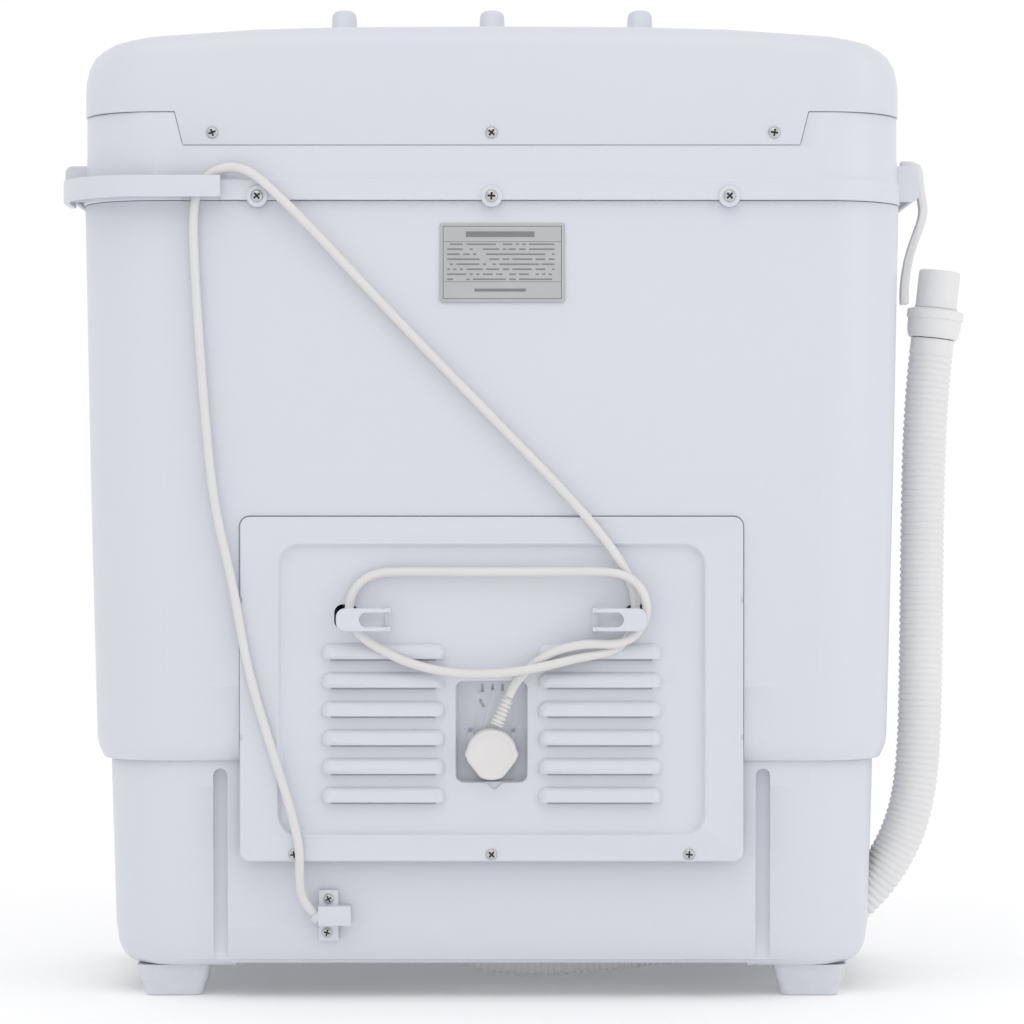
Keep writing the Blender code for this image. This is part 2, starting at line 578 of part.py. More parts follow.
# ---- service panel -----------------------------------------------------------------------------
def louvre_levels():
    top = 0.2502
    return [top - index * 0.02005 for index in range(6)]


def build_service_panel():
    middle = (PANEL_LOW + PANEL_HIGH) / 2
    half_z = (PANEL_HIGH - PANEL_LOW) / 2

    def outline(half_x, half_height, radius, centre_z):
        return [(x, z + centre_z) for x, z in rounded_rectangle(half_x, half_height, radius, 4)]

    panel = as_object("service_panel", lambda bm: prism(bm, outline(PANEL_X, half_z, 0.007, middle),
                                                        FIELD_Y - WALL, PANEL_Y, "Y"), white())
    cut(panel, as_object("panel_field", lambda bm: prism(bm, outline(0.1485, 0.1010, 0.014, 0.2180),
                                                         FIELD_Y, 0.18, "Y"), None, cutter=True))
    join(panel, boxes("plug_pocket", [((-0.0280, 0.1470, 0.1500), (0.0280, FIELD_Y - 0.001, 0.2270))]))
    cut(panel, boxes("plug_recess", [((-0.0250, 0.1500, 0.1530), (0.0250, 0.19, 0.2240))]))

    def pin_seats(bm):
        for sx in (-1, 1):
            rod(bm, (sx * 0.0095, 0.13, PLUG_Z), (sx * 0.0095, 0.16, PLUG_Z), 0.0030, segments=16)
    cut(panel, as_object("pin_seats", pin_seats, None, cutter=True))

    def hoods(bm):
        for top in louvre_levels():
            for sx in (-1, 1):
                near, far = sorted((sx * 0.0325, sx * 0.1190))
                verts = block(bm, (near, FIELD_Y - 0.0015, top - 0.0105), (far, 0.1685, top))
                for vert in verts:
                    if vert.co.y > FIELD_Y:
                        vert.co.x += 0.0045 * (1 if vert.co.x < (near + far) / 2 else -1)
                        if vert.co.z > top - 0.001:
                            vert.co.z = top - 0.0075
    join(panel, as_object("louvre_hoods", hoods, None, cutter=True))

    def slots(bm):
        for top in louvre_levels():
            for sx in (-1, 1):
                near, far = sorted((sx * 0.0390, sx * 0.1125))
                low = top - 0.0115
                prism(bm, [(0.15, low), (0.1668, low), (0.1668, low + 0.0030), (0.1605, top - 0.0025),
                           (0.15, top - 0.0025)], near, far, "X")
    cut(panel, as_object("louvre_slots", slots, None, cutter=True))

    arms, windows = [], []
    for sx in (-1, 1):
        for low_x, high_x, low_y, high_y in ((0.0704, 0.0745, FIELD_Y - 0.001, HOOK_OUT),
                                             (0.0735, 0.1080, HOOK_IN, HOOK_OUT)):
            near, far = sorted((sx * low_x, sx * high_x))
            arms.append(((near, low_y, 0.2593), (far, high_y, 0.2753)))
        near, far = sorted((sx * 0.0760, sx * 0.0920))
        windows.append(((near, 0.17, 0.2620), (far, 0.20, 0.2726)))
    for index, corners in enumerate(arms):
        join(panel, boxes(f"hook_arm_{index}", [corners]))
    cut(panel, boxes("hook_windows", windows))

    tabs = [((sx * 0.11 - 0.012, 0.1530, 0.3250), (sx * 0.11 + 0.012, 0.1560, 0.3480)) for sx in (-1, 1)]
    feet = [((sx * 0.11 - 0.012, 0.1530, 0.3250), (sx * 0.11 + 0.012, FIELD_Y - 0.001, 0.3280)) for sx in (-1, 1)]
    join(panel, boxes("panel_tabs", tabs))
    join(panel, boxes("panel_tab_feet", feet))

    as_object("rating_label", lambda bm: block(bm, (-0.0510, 0.1664, 0.4890), (0.0360, 0.1668, 0.5440)),
              material("label_foil", (0.55, 0.56, 0.57), 0.4, 0.5))


# ---- mains lead, plug and clamp ----------------------------------------------------------------
def build_lead():
    lead_look = off_white()

    def clamp(bm):
        block(bm, (0.0985, 0.1515, 0.0530), (0.1212, 0.1660, 0.0665))
    piece = as_object("cord_clamp", clamp, white())
    join(piece, boxes("clamp_foot", [((0.1075, 0.1515, 0.0415), (0.1212, 0.1560, 0.0770))]))
    cut(piece, as_object("clamp_way", lambda bm: rod(bm, (0.1100, 0.1600, 0.0590), (0.13, 0.1600, 0.0600), 0.0038,
                                                     segments=16), None, cutter=True))
    points = smooth_route(CORD_ROUTE, 0.0125, 0.034)
    tube("power_cord", points, CORD_R, lead_look)

    plug = as_object("power_plug", lambda bm: rod(bm, (0, 0.1525, PLUG_Z), (0, 0.1755, PLUG_Z), 0.0185, 0.0170,
                                                  segments=28), lead_look, origin=(0, PLUG_AXIS_Y, PLUG_Z))

    def pins(bm):
        for sx in (-1, 1):
            rod(bm, (sx * 0.0095, 0.1335, PLUG_Z), (sx * 0.0095, 0.1540, PLUG_Z), 0.0024, segments=12)
    join(plug, as_object("plug_pins", pins, None, cutter=True))
    end = Vector(CORD_ROUTE[-1])
    inward = (end - Vector(CORD_ROUTE[-2])).normalized()
    as_object("plug_strain_relief", lambda bm: rod(bm, end + inward * 2 * GAP, end + inward * 0.0215, 0.0038, 0.0050,
                                                   segments=16), lead_look)


def build_hose():
    look = off_white()
    points = smooth_route(HOSE_ROUTE, 0.030, 0.075)
    tube("drain_hose", points, HOSE_R, look, sides=4)
    base = HOSE_END + HOSE_TILT * 2 * GAP
    turned("hose_cuff", [(0, 0.0215), (0.0185, 0.0215), (0.0203, 0.0195), (0.0203, 0.0140), (0.0195, 0.0030),
                         (0.0185, 0.0), (0, 0)], base, look, segments=24, direction=HOSE_TILT)
    turned("hose_nozzle", [(0.0125, 0.0275), (0.0148, 0.0262), (0.0153, 0.0), (0.0110, 0.0), (0.0110, 0.0275)],
           base + HOSE_TILT * (0.0215 + GAP), look, segments=24, direction=HOSE_TILT)
    line = [(-0.2955, 0.5928), (-0.3045, 0.5928), (-0.3079, 0.5912), (-0.3086, 0.5868), (-0.3090, 0.5800),
            (-0.3105, 0.5690), (-0.3128, 0.5583), (-0.3082, 0.5455), (-0.3028, 0.5315), (-0.2995, 0.5170),
            (-0.2980, 0.5030), (-0.2982, 0.4925)]
    line = [Vector(point) for point in line]
    left, right = [], []
    for index, point in enumerate(line):
        ahead = line[min(index + 1, len(line) - 1)] - line[max(index - 1, 0)]
        aside = Vector((-ahead.y, ahead.x)).normalized() * 0.0030
        left.append(tuple(point + aside))
        right.append(tuple(point - aside))
    as_object("hose_hook", lambda bm: prism(bm, left + list(reversed(right)), HOSE_Y - 0.007, HOSE_Y + 0.007, "Y"),
              look)


# ---- wash side -----------------------------------------------------------------------------------
def build_wash_side():
    tub = [(WASH_FLOOR, 0.1280, 0.1040, 0.040), (WASH_FLOOR + 0.012, 0.1370, 0.1130, 0.046),
           (0.5965, WASH_HALF_X - WALL, WASH_HALF_Y - WALL, 0.050)]
    wash = as_object("wash_tub", lambda bm: loft(bm, (WASH_X, WASH_Y), tub, close_top=False), white())
    modifier(wash, "SOLIDIFY", thickness=WALL, offset=1.0, use_even_offset=True)

    def holes(bm):
        rod(bm, (WASH_X, WASH_Y, 0.20), (WASH_X, WASH_Y, 0.23), 0.0075, segments=16)
        rod(bm, (-0.0050, 0.0400, 0.20), (-0.0050, 0.0400, 0.23), 0.0110, segments=16)
    cut(wash, as_object("wash_tub_holes", holes, None, cutter=True))
    as_object("overflow_cover", lambda bm: block(bm, (0.0100, -0.0500, 0.2500), (0.0200, 0.0100, 0.5200)),
              grey_plastic())

    axis = (WASH_X, WASH_Y, WASH_FLOOR)
    pulsator = turned("pulsator", [(0.0120, 0.0265), (0.0200, 0.0240), (0.0300, 0.0140), (0.0880, 0.0130),
                                   (0.0900, 0.0115), (0.0900, 0.0070), (0.0063, 0.0070), (0.0063, 0.0200),
                                   (0.0, 0.0200), (0.0, 0.0265)], axis, white(), segments=28)

    def vanes(bm):
        for turn in range(4):
            start = len(bm.verts)
            block(bm, (0.020, -0.005, 0.0120), (0.0840, 0.005, 0.0235))
            fresh = list(bm.verts)[start:]
            for vert in fresh:
                if vert.co.z > 0.02:
                    vert.co.y *= 0.4
                    vert.co.z -= 0.006 if vert.co.x > 0.05 else 0.0
            place = Matrix.Translation(axis) @ Matrix.Rotation(math.radians(45 + 90 * turn), 4, "Z")
            bmesh.ops.transform(bm, matrix=place, verts=fresh)
    join(pulsator, as_object("pulsator_vanes", vanes, None, cutter=True))
    as_object("pulsator_shaft", lambda bm: rod(bm, (WASH_X, WASH_Y, 0.0900), (WASH_X, WASH_Y, 0.2396), 0.0060,
                                               segments=18), steel(), origin=axis)
    turned("bearing_housing", [(0.0450, -0.0033), (0.0450, -0.0063), (0.0230, -0.0083), (0.0200, -0.0850),
                               (0.0066, -0.0850), (0.0066, -0.0033)], axis, dark_steel(), segments=20)
    turned("wash_pulley", [(0.0740, BELT_Z + 0.008), (0.0740, BELT_Z - 0.008), (0.0063, BELT_Z - 0.008),
                           (0.0063, BELT_Z + 0.008)], (WASH_X, WASH_Y, 0.0), grey_plastic(), segments=32)
    turned("motor_pulley", [(0.0040, 0.1210), (0.0040, BELT_Z + 0.008), (0.0115, BELT_Z + 0.008),
                            (0.0115, BELT_Z - 0.008), (0, BELT_Z - 0.008), (0, 0.1210)],
           (MOTOR_X, MOTOR_Y, 0.0), steel(), segments=20)

    def belt_outline(extra):
        """Outline of a belt round both pulleys, standing off their rims."""
        small, large = Vector((MOTOR_X, MOTOR_Y)), Vector((WASH_X, WASH_Y))
        small_r, large_r = 0.0115 + extra, 0.0740 + extra
        along = large - small
        lean = math.asin((large_r - small_r) / along.length)
        heading = math.atan2(along.y, along.x)
        points = []
        for step in range(21):
            angle = heading - (math.pi / 2 + lean) + (math.pi + 2 * lean) * step / 20
            points.append(large + Vector((math.cos(angle), math.sin(angle))) * large_r)
        for step in range(9):
            angle = heading + (math.pi / 2 + lean) + (math.pi - 2 * lean) * step / 8
            points.append(small + Vector((math.cos(angle), math.sin(angle))) * small_r)
        return [tuple(point) for point in points]
    belt = as_object("drive_belt", lambda bm: prism(bm, belt_outline(0.0050), BELT_Z - 0.0045, BELT_Z + 0.0045),
                     rubber())
    cut(belt, as_object("belt_inside", lambda bm: prism(bm, belt_outline(0.0009), 0.08, 0.12), None, cutter=True))

    motor = as_object("wash_motor", lambda bm: rod(bm, (MOTOR_X, MOTOR_Y, 0.1215), (MOTOR_X, MOTOR_Y, 0.2050), 0.050,
                                                   segments=32), dark_steel())
    legs = [((-0.018, MOTOR_Y - 0.066, FLOOR_TOP + GAP), (0.018, MOTOR_Y - 0.062, 0.1255)),
            ((-0.018, MOTOR_Y + 0.062, FLOOR_TOP + GAP), (0.018, MOTOR_Y + 0.066, 0.1255))]
    join(motor, boxes("motor_legs", legs))
    join(motor, boxes("motor_bridge", [((-0.018, MOTOR_Y - 0.066, 0.1225), (0.018, MOTOR_Y + 0.066, 0.1255))]))
    as_object("run_capacitor", lambda bm: rod(bm, (-0.215, 0.085, FLOOR_TOP + GAP), (-0.215, 0.085, 0.150), 0.019,
                                              segments=20), grey_plastic())


# ---- spin side -----------------------------------------------------------------------------------
def build_spin_side():
    centre = (SPIN_X, SPIN_Y, 0.0)
    turned("spin_tub", [(SPIN_R, 0.5965), (SPIN_R - 0.003, SPIN_FLOOR + 0.006), (SPIN_R - 0.010, SPIN_FLOOR - WALL),
                        (0.0222, SPIN_FLOOR - WALL), (0.0222, SPIN_FLOOR), (SPIN_R - 0.0115, SPIN_FLOOR),
                        (SPIN_R - 0.006, SPIN_FLOOR + 0.007), (SPIN_R - WALL, 0.5965)], centre, white(), segments=32)
    turned("spin_basket", [(0.0930, 0.5500), (0.0930, 0.2660), (0.0880, 0.2600), (0.0180, 0.2600), (0.0160, 0.2560),
                           (0.0063, 0.2560), (0.0063, 0.3050), (0.0110, 0.3050), (0.0200, 0.2640), (0.0860, 0.2630),
                           (0.0905, 0.2680), (0.0905, 0.5400), (0.0860, 0.5420), (0.0860, 0.5500)], centre,
           material("basket_steel", (0.70, 0.71, 0.72), 0.35, 0.9), segments=28)
    as_object("spin_shaft", lambda bm: rod(bm, (SPIN_X, SPIN_Y, 0.1903), (SPIN_X, SPIN_Y, 0.3000), 0.0060,
                                           segments=18), steel(), origin=(SPIN_X, SPIN_Y, 0.19))
    turned("brake_drum", [(0.0360, 0.2130), (0.0360, 0.1960), (0.0063, 0.1960), (0.0063, 0.2130)], centre,
           dark_steel(), segments=32)
    turned("bellows_seal", [(0.0110, 0.2530), (0.0140, 0.2430), (0.0280, 0.2393), (0.0280, SPIN_FLOOR + GAP),
                            (0.0218, SPIN_FLOOR + GAP), (0.0218, 0.2290), (0.0068, 0.2290), (0.0068, 0.2530)],
           centre, rubber(), segments=18)
    motor = as_object("spin_motor", lambda bm: rod(bm, (SPIN_X, SPIN_Y, 0.1165), (SPIN_X, SPIN_Y, 0.1900), 0.052,
                                                   segments=32), dark_steel())

    def flange(bm):
        rod(bm, (SPIN_X, SPIN_Y, 0.1132), (SPIN_X, SPIN_Y, 0.1175), 0.074, segments=24)
    join(motor, as_object("spin_motor_flange", flange, None, cutter=True))
    for index, turn in enumerate((90, 210, 330)):
        angle = math.radians(turn)
        place = (SPIN_X + 0.060 * math.cos(angle), SPIN_Y + 0.060 * math.sin(angle), FLOOR_TOP + GAP)
        turned(f"spin_mount_{index + 1}", [(0, 0.0265), (0.0120, 0.0265), (0.0120, 0.0210), (0.0095, 0.0132),
                                           (0.0120, 0.0055), (0.0120, 0.0), (0, 0)], place, rubber(), segments=12)

    pivot = Vector((SPIN_X + 0.0465, SPIN_Y, 0.0))

    def pivot_post(bm):
        rod(bm, (pivot.x, pivot.y, 0.1880), (pivot.x, pivot.y, 0.2090), 0.0025, segments=14)
    join(motor, as_object("lever_post", pivot_post, None, cutter=True))
    lever_z = 0.2010
    lever = as_object("brake_lever", lambda bm: rod(bm, (pivot.x, pivot.y, lever_z - 0.003),
                                                    (pivot.x, pivot.y, lever_z + 0.003), 0.0056, segments=20),
                      steel(), origin=(pivot.x, pivot.y, lever_z))
    tip = Vector((SPIN_X + 0.0270, SPIN_Y + 0.0560, 0.0))
    along = (tip - pivot).normalized()
    aside = Vector((along.y, -along.x, 0.0))
    bar = [pivot + aside * 0.0040, tip + aside * 0.0040, tip - aside * 0.0040, pivot - aside * 0.0040]
    join(lever, as_object("lever_bar", lambda bm: prism(bm, [(p.x, p.y) for p in bar], lever_z - 0.003,
                                                        lever_z + 0.003), None, cutter=True))
    shoe_mid = pivot + along * 0.0160 - aside * 0.0046
    shoe = [shoe_mid - along * 0.0045 + aside * 0.003, shoe_mid + along * 0.0045 + aside * 0.003,
            shoe_mid + along * 0.0045 - aside * 0.0010, shoe_mid - along * 0.0045 - aside * 0.0010]
    join(lever, as_object("lever_shoe", lambda bm: prism(bm, [(p.x, p.y) for p in shoe], lever_z - 0.003,
                                                         lever_z + 0.003), None, cutter=True))
    cut(lever, as_object("lever_bore", lambda bm: rod(bm, (pivot.x, pivot.y, 0.19), (pivot.x, pivot.y, 0.22), 0.0029,
                                                      segments=16), None, cutter=True))

    plate = as_object("spin_press_plate", lambda bm: rod(bm, (SPIN_X, SPIN_Y, 0.5000), (SPIN_X, SPIN_Y, 0.5050),
                                                         0.0840, segments=32), white(),
                      origin=(SPIN_X, SPIN_Y, 0.50))

    def finger_holes(bm):
        for turn in range(6):
            angle = math.radians(60 * turn)
            x, y = SPIN_X + 0.045 * math.cos(angle), SPIN_Y + 0.045 * math.sin(angle)
            rod(bm, (x, y, 0.49), (x, y, 0.51), 0.0120, segments=10)
    cut(plate, as_object("finger_holes", finger_holes, None, cutter=True))


# ---- drain valve and wiring ------------------------------------------------------------------------
def build_drain():
    body = as_object("drain_valve_body", lambda bm: rod(bm, (VALVE_X, VALVE_Y, 0.1550), (VALVE_X, VALVE_Y, 0.2300),
                                                        0.0215, segments=28), grey_plastic())

    join(body, as_object("wash_drain_riser", lambda bm: rod(bm, (-0.0050, 0.0400, 0.1860), (-0.0050, 0.0400, 0.2165),
                                                            0.0135, segments=20), None, cutter=True))
    join(body, as_object("wash_drain_run", lambda bm: rod(bm, (-0.0050, 0.0400, 0.1930),
                                                          (VALVE_X - 0.010, VALVE_Y - 0.004, 0.1930),
                                                          0.0110, segments=20), None, cutter=True))
    cut(body, as_object("valve_chamber", lambda bm: rod(bm, (VALVE_X, VALVE_Y, 0.1720), (VALVE_X, VALVE_Y, 0.24),
                                                        0.0180, segments=24), None, cutter=True))
    turned("drain_valve_plug", [(0.0018, 0.4180), (0.0018, 0.0180), (0.0120, 0.0160), (0.0165, 0.0080),
                                (0.0165, 0.0), (0.0, 0.0), (0.0, 0.4180)],
           (VALVE_X, VALVE_Y, 0.1725), rubber(), segments=20)
    route = [(0.0480, 0.1180, 0.6150), (0.0475, 0.1250, 0.5600), (0.0470, 0.1300, 0.4500), (0.0470, 0.1300, 0.3000),
             (0.0470, 0.1280, 0.1800), (0.0440, 0.1150, 0.1250), (0.0380, 0.0700, 0.1000), (0.0330, 0.0200, 0.0960),
             (0.0280, -0.0060, 0.1050)]
    tube("wire_harness", smooth_route(route, 0.02, 0.05), 0.0035,
         material("wire_sleeve", (0.16, 0.16, 0.17), 0.6))


def main():
    global parts, cutters
    for old in list(bpy.data.objects):
        bpy.data.objects.remove(old, do_unlink=True)
    parts = new_collection("twin_tub_washing_machine")
    cutters = new_collection("cutters")
    build_base()
    build_cabinet()
    build_top_frame()
    build_lids()
    build_console()
    build_service_panel()
    build_lead()
    build_hose()
    build_wash_side()
    build_spin_side()
    build_drain()
    for made in parts.objects:
        if made.type == "MESH":
            made.data.shade_smooth()
            made.data.set_sharp_from_angle(angle=math.radians(35))


main()
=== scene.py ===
"""Looks of a compact twin-tub washing machine, seen from its service side."""

import math

import bmesh
import bpy
from mathutils import Matrix, Vector


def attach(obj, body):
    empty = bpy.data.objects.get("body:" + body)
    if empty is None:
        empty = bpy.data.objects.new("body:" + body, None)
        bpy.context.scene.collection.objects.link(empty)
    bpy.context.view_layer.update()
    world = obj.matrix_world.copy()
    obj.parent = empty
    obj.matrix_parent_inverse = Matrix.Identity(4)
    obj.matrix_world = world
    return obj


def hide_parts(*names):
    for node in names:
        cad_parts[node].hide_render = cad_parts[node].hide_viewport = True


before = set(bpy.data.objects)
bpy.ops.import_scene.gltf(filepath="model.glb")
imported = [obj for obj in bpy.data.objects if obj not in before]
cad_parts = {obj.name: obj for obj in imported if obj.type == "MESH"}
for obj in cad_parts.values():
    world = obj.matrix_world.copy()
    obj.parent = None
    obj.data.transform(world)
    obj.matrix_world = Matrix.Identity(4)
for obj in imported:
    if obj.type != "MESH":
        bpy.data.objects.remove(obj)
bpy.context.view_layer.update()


# ---- Camera, light and floor ---------------------------------------------------------------------
# The machine stands in a white studio, lit softly from all round with one broad lamp above.
# The camera looks level at the service side from a little under three metres.
class Signal:
    """A number that varies over a surface; arithmetic on it adds Math nodes."""

    def __init__(self, finish, socket):
        self.finish, self.socket = finish, socket

    def worked(self, operation, *values):
        return self.finish.node("ShaderNodeMath", {"operation": operation}, dict(enumerate(values)))

    def __add__(self, other):
        return self.worked("ADD", self, other)

    def __sub__(self, other):
        return self.worked("SUBTRACT", self, other)

    def __mul__(self, other):
        return self.worked("MULTIPLY", self, other)

    def __truediv__(self, other):
        return self.worked("DIVIDE", self, other)

    def __rsub__(self, other):
        return self.worked("SUBTRACT", other, self)

    __radd__ = __add__

    def clamped(self):
        return self.finish.node("ShaderNodeClamp", {}, {0: self})

    def above(self, edge, softness):
        """0 below the edge and 1 above it, over a soft step."""
        return ((self - edge) / softness + 0.5).clamped()


class Finish:
    """One material, with the nodes that make it."""

    def __init__(self, name, **constants):
        self.material = bpy.data.materials.new(name)
        self.material.use_nodes = True
        self.tree = self.material.node_tree
        self.shader = self.tree.nodes["Principled BSDF"]
        for title, value in constants.items():
            self.shader.inputs[title.replace("_", " ")].default_value = value

    def feed(self, socket, value):
        if isinstance(value, Signal):
            self.tree.links.new(value.socket, socket)
        else:
            socket.default_value = value

    def node(self, kind, settings, inputs, output=0):
        made = self.tree.nodes.new(kind)
        for key, value in settings.items():
            setattr(made, key, value)
        for key, value in inputs.items():
            self.feed(made.inputs[key], value)
        return Signal(self, made.outputs[output])

    def place(self):
        return self.node("ShaderNodeTexCoord", {}, {}, "Object")

    def speckle(self, scale, detail=3.0, roughness=0.55, vector=None):
        return self.node("ShaderNodeTexNoise", {}, {
            "Vector": vector or self.place(), "Scale": scale, "Detail": detail, "Roughness": roughness})

    def mixed(self, factor, *colours):
        """A blend of two colours, each a plain (red, green, blue) or another blend."""
        first, second = [(*colour, 1.0) if isinstance(colour, tuple) else colour for colour in colours]
        return self.node("ShaderNodeMix", {"data_type": "RGBA"}, {0: factor, 6: first, 7: second}, 2)

    def split(self, vector=None):
        """The X, Y and Z of a place on the object."""
        made = self.tree.nodes.new("ShaderNodeSeparateXYZ")
        self.feed(made.inputs[0], vector or self.place())
        return [Signal(self, output) for output in made.outputs]

    def bumped(self, height, strength, distance):
        relief = {"Height": height, "Strength": strength, "Distance": distance}
        self.feed(self.shader.inputs["Normal"], self.node("ShaderNodeBump", {}, relief))

    def looks(self, **links):
        for title, value in links.items():
            self.feed(self.shader.inputs[title.replace("_", " ")], value)
        return self.material


scene = bpy.context.scene
camera = bpy.data.objects.new("camera", bpy.data.cameras.new("camera"))
camera.data.lens = 126.0
camera.location = (-0.0143, 2.67, 0.3422)
camera.rotation_euler = (math.radians(90), 0, math.radians(180))
scene.collection.objects.link(camera)
scene.camera = camera
scene.view_settings.view_transform = "Standard"

world = bpy.data.worlds.new("studio")
world.use_nodes = True
world.node_tree.nodes["Background"].inputs["Color"].default_value = (1.0, 1.0, 1.0, 1.0)
world.node_tree.nodes["Background"].inputs["Strength"].default_value = 0.89
scene.world = world


def lamp(name, place, aim, width, depth, power):
    """A white rectangular lamp at a place, turned to face an aim."""
    light = bpy.data.lights.new(name, "AREA")
    light.shape, light.size, light.size_y = "RECTANGLE", width, depth
    light.energy = power
    made = bpy.data.objects.new(name, light)
    made.location = place
    made.rotation_euler = (Vector(aim) - Vector(place)).to_track_quat("-Z", "Y").to_euler()
    scene.collection.objects.link(made)


lamp("top_lamp", (0.3, 1.3, 2.3), (0.0, 0.1, 0.3), 2.0, 1.4, 6.0)
lamp("side_lamp", (-2.2, 1.4, 1.1), (0.0, 0.1, 0.3), 1.2, 1.6, 5.0)


def smooth_mesh(name, bm, angle=32.0):
    """Turns a bmesh into an object with smooth faces and sharp creases."""
    bmesh.ops.recalc_face_normals(bm, faces=bm.faces[:])
    mesh = bpy.data.meshes.new(name)
    bm.to_mesh(mesh)
    bm.free()
    mesh.polygons.foreach_set("use_smooth", [True] * len(mesh.polygons))
    mesh.set_sharp_from_angle(angle=math.radians(angle))
    made = bpy.data.objects.new(name, mesh)
    scene.collection.objects.link(made)
    return made


sweep = bmesh.new()
outline = [(6.0, 0.0), (-2.2, 0.0)]
outline += [(-2.2 - math.sin(turn) * 1.2, 1.2 - math.cos(turn) * 1.2) for turn in
            [math.radians(6 * step) for step in range(1, 16)]]
outline += [(-3.4, 6.0)]
edges = [[sweep.verts.new((x, y, z - 0.0004)) for y, z in outline] for x in (-7.0, 7.0)]
for step in range(len(outline) - 1):
    sweep.faces.new((edges[0][step], edges[1][step], edges[1][step + 1], edges[0][step + 1]))
backdrop = smooth_mesh("backdrop", sweep)
paper = Finish("backdrop_paper", Roughness=0.9)
paper.feed(paper.shader.inputs["Base Color"], (0.93, 0.93, 0.935, 1.0))
paper.shader.inputs["Emission Color"].default_value = (1.0, 1.0, 1.0, 1.0)
paper.shader.inputs["Emission Strength"].default_value = 0.12
backdrop.data.materials.append(paper.material)


# ---- Mains lead ----------------------------------------------------------------------------------
# A round flexible lead in off-white PVC.  It leaves the clamp at the foot of the back, goes up
# over the lip at the rim and is wound on the two hooks of the service panel.
LEAD_ROUTE = [
    (0.1228, 0.1600, 0.0600), (0.1277, 0.1606, 0.0645), (0.1313, 0.1624, 0.0702), (0.1333, 0.1648, 0.0766),
    (0.1339, 0.1676, 0.0835), (0.1339, 0.1698, 0.0910), (0.1337, 0.1706, 0.1000), (0.1340, 0.1704, 0.1120),
    (0.1440, 0.1703, 0.1485), (0.1600, 0.1703, 0.1972), (0.1718, 0.1703, 0.2391), (0.1781, 0.1702, 0.2809),
    (0.1878, 0.1700, 0.3227), (0.1945, 0.1700, 0.3530), (0.1997, 0.1703, 0.4064), (0.2044, 0.1706, 0.4691),
    (0.2073, 0.1710, 0.5179), (0.2080, 0.1713, 0.5430), (0.2071, 0.1715, 0.5575), (0.2050, 0.1715, 0.5665),
    (0.2005, 0.1716, 0.5742), (0.1938, 0.1720, 0.5799), (0.1855, 0.1732, 0.5828), (0.1768, 0.1746, 0.5826),
    (0.1685, 0.1756, 0.5795), (0.1600, 0.1760, 0.5730), (0.1525, 0.1759, 0.5662), (0.1400, 0.1753, 0.5545),
    (0.1200, 0.1725, 0.5343), (0.0780, 0.1710, 0.4890), (0.0220, 0.1705, 0.4310), (-0.0340, 0.1704, 0.3740),
    (-0.0620, 0.1706, 0.3440), (-0.0766, 0.1712, 0.3266), (-0.0880, 0.1704, 0.3110), (-0.0962, 0.1667, 0.2972),
    (-0.1003, 0.1661, 0.2840), (-0.1008, 0.1661, 0.2720), (-0.0990, 0.1663, 0.2610), (-0.0935, 0.1677, 0.2515),
    (-0.0845, 0.1714, 0.2452), (-0.0740, 0.1726, 0.2428), (-0.0600, 0.1731, 0.2405), (-0.0477, 0.1744, 0.2372),
    (-0.0265, 0.1772, 0.2326), (-0.0100, 0.1762, 0.2302), (0.0100, 0.1746, 0.2290), (0.0280, 0.1735, 0.2300),
    (0.0464, 0.1726, 0.2335), (0.0638, 0.1724, 0.2392), (0.0770, 0.1724, 0.2462), (0.0888, 0.1716, 0.2534),
    (0.0951, 0.1702, 0.2597), (0.0989, 0.1688, 0.2678), (0.0997, 0.1680, 0.2767), (0.0974, 0.1677, 0.2854),
    (0.0928, 0.1678, 0.2922), (0.0858, 0.1680, 0.2975), (0.0765, 0.1683, 0.3003), (0.0600, 0.1688, 0.3006),
    (0.0200, 0.1692, 0.3004), (-0.0200, 0.1700, 0.3004), (-0.0500, 0.1716, 0.3005), (-0.0700, 0.1730, 0.3007),
    (-0.0857, 0.1737, 0.3001), (-0.0941, 0.1738, 0.2978), (-0.1013, 0.1740, 0.2928), (-0.1063, 0.1742, 0.2857),
    (-0.1086, 0.1744, 0.2772), (-0.1078, 0.1746, 0.2685), (-0.1041, 0.1747, 0.2605), (-0.0980, 0.1749, 0.2544),
    (-0.0900, 0.1758, 0.2507), (-0.0826, 0.1760, 0.2500), (-0.0745, 0.1756, 0.2505), (-0.0640, 0.1746, 0.2502),
    (-0.0520, 0.1736, 0.2478), (-0.0430, 0.1730, 0.2448), (-0.0350, 0.1718, 0.2402), (-0.0265, 0.1683, 0.2338),
    (-0.0195, 0.1665, 0.2262), (-0.0148, 0.1665, 0.2195), (-0.0120, 0.1668, 0.2130),
]
LEAD_WIDTH = 0.0064


def drawn_line(route, spacing):
    """Points at an even spacing on a cubic B-spline along the route."""
    route = [Vector(point) for point in route]
    ends = [route[0] * 2 - route[1]] + route + [route[-1] * 2 - route[-2]]
    fine = []
    for a, b, c, d in zip(ends, ends[1:], ends[2:], ends[3:]):
        for step in range(24):
            t = step / 24
            fine.append((a * (1 - t) ** 3 + b * (3 * t ** 3 - 6 * t ** 2 + 4)
                         + c * (-3 * t ** 3 + 3 * t ** 2 + 3 * t + 1) + d * t ** 3) / 6)
    fine.append(route[-1])
    reach = [0.0]
    for first, second in zip(fine, fine[1:]):
        reach.append(reach[-1] + (second - first).length)
    count = max(2, round(reach[-1] / spacing))
    points, index = [], 0
    for step in range(count + 1):
        target = reach[-1] * step / count
        while index < len(fine) - 2 and reach[index + 1] < target:
            index += 1
        part = (target - reach[index]) / max(reach[index + 1] - reach[index], 1e-9)
        points.append(fine[index].lerp(fine[index + 1], min(max(part, 0.0), 1.0)))
    return points, reach[-1]


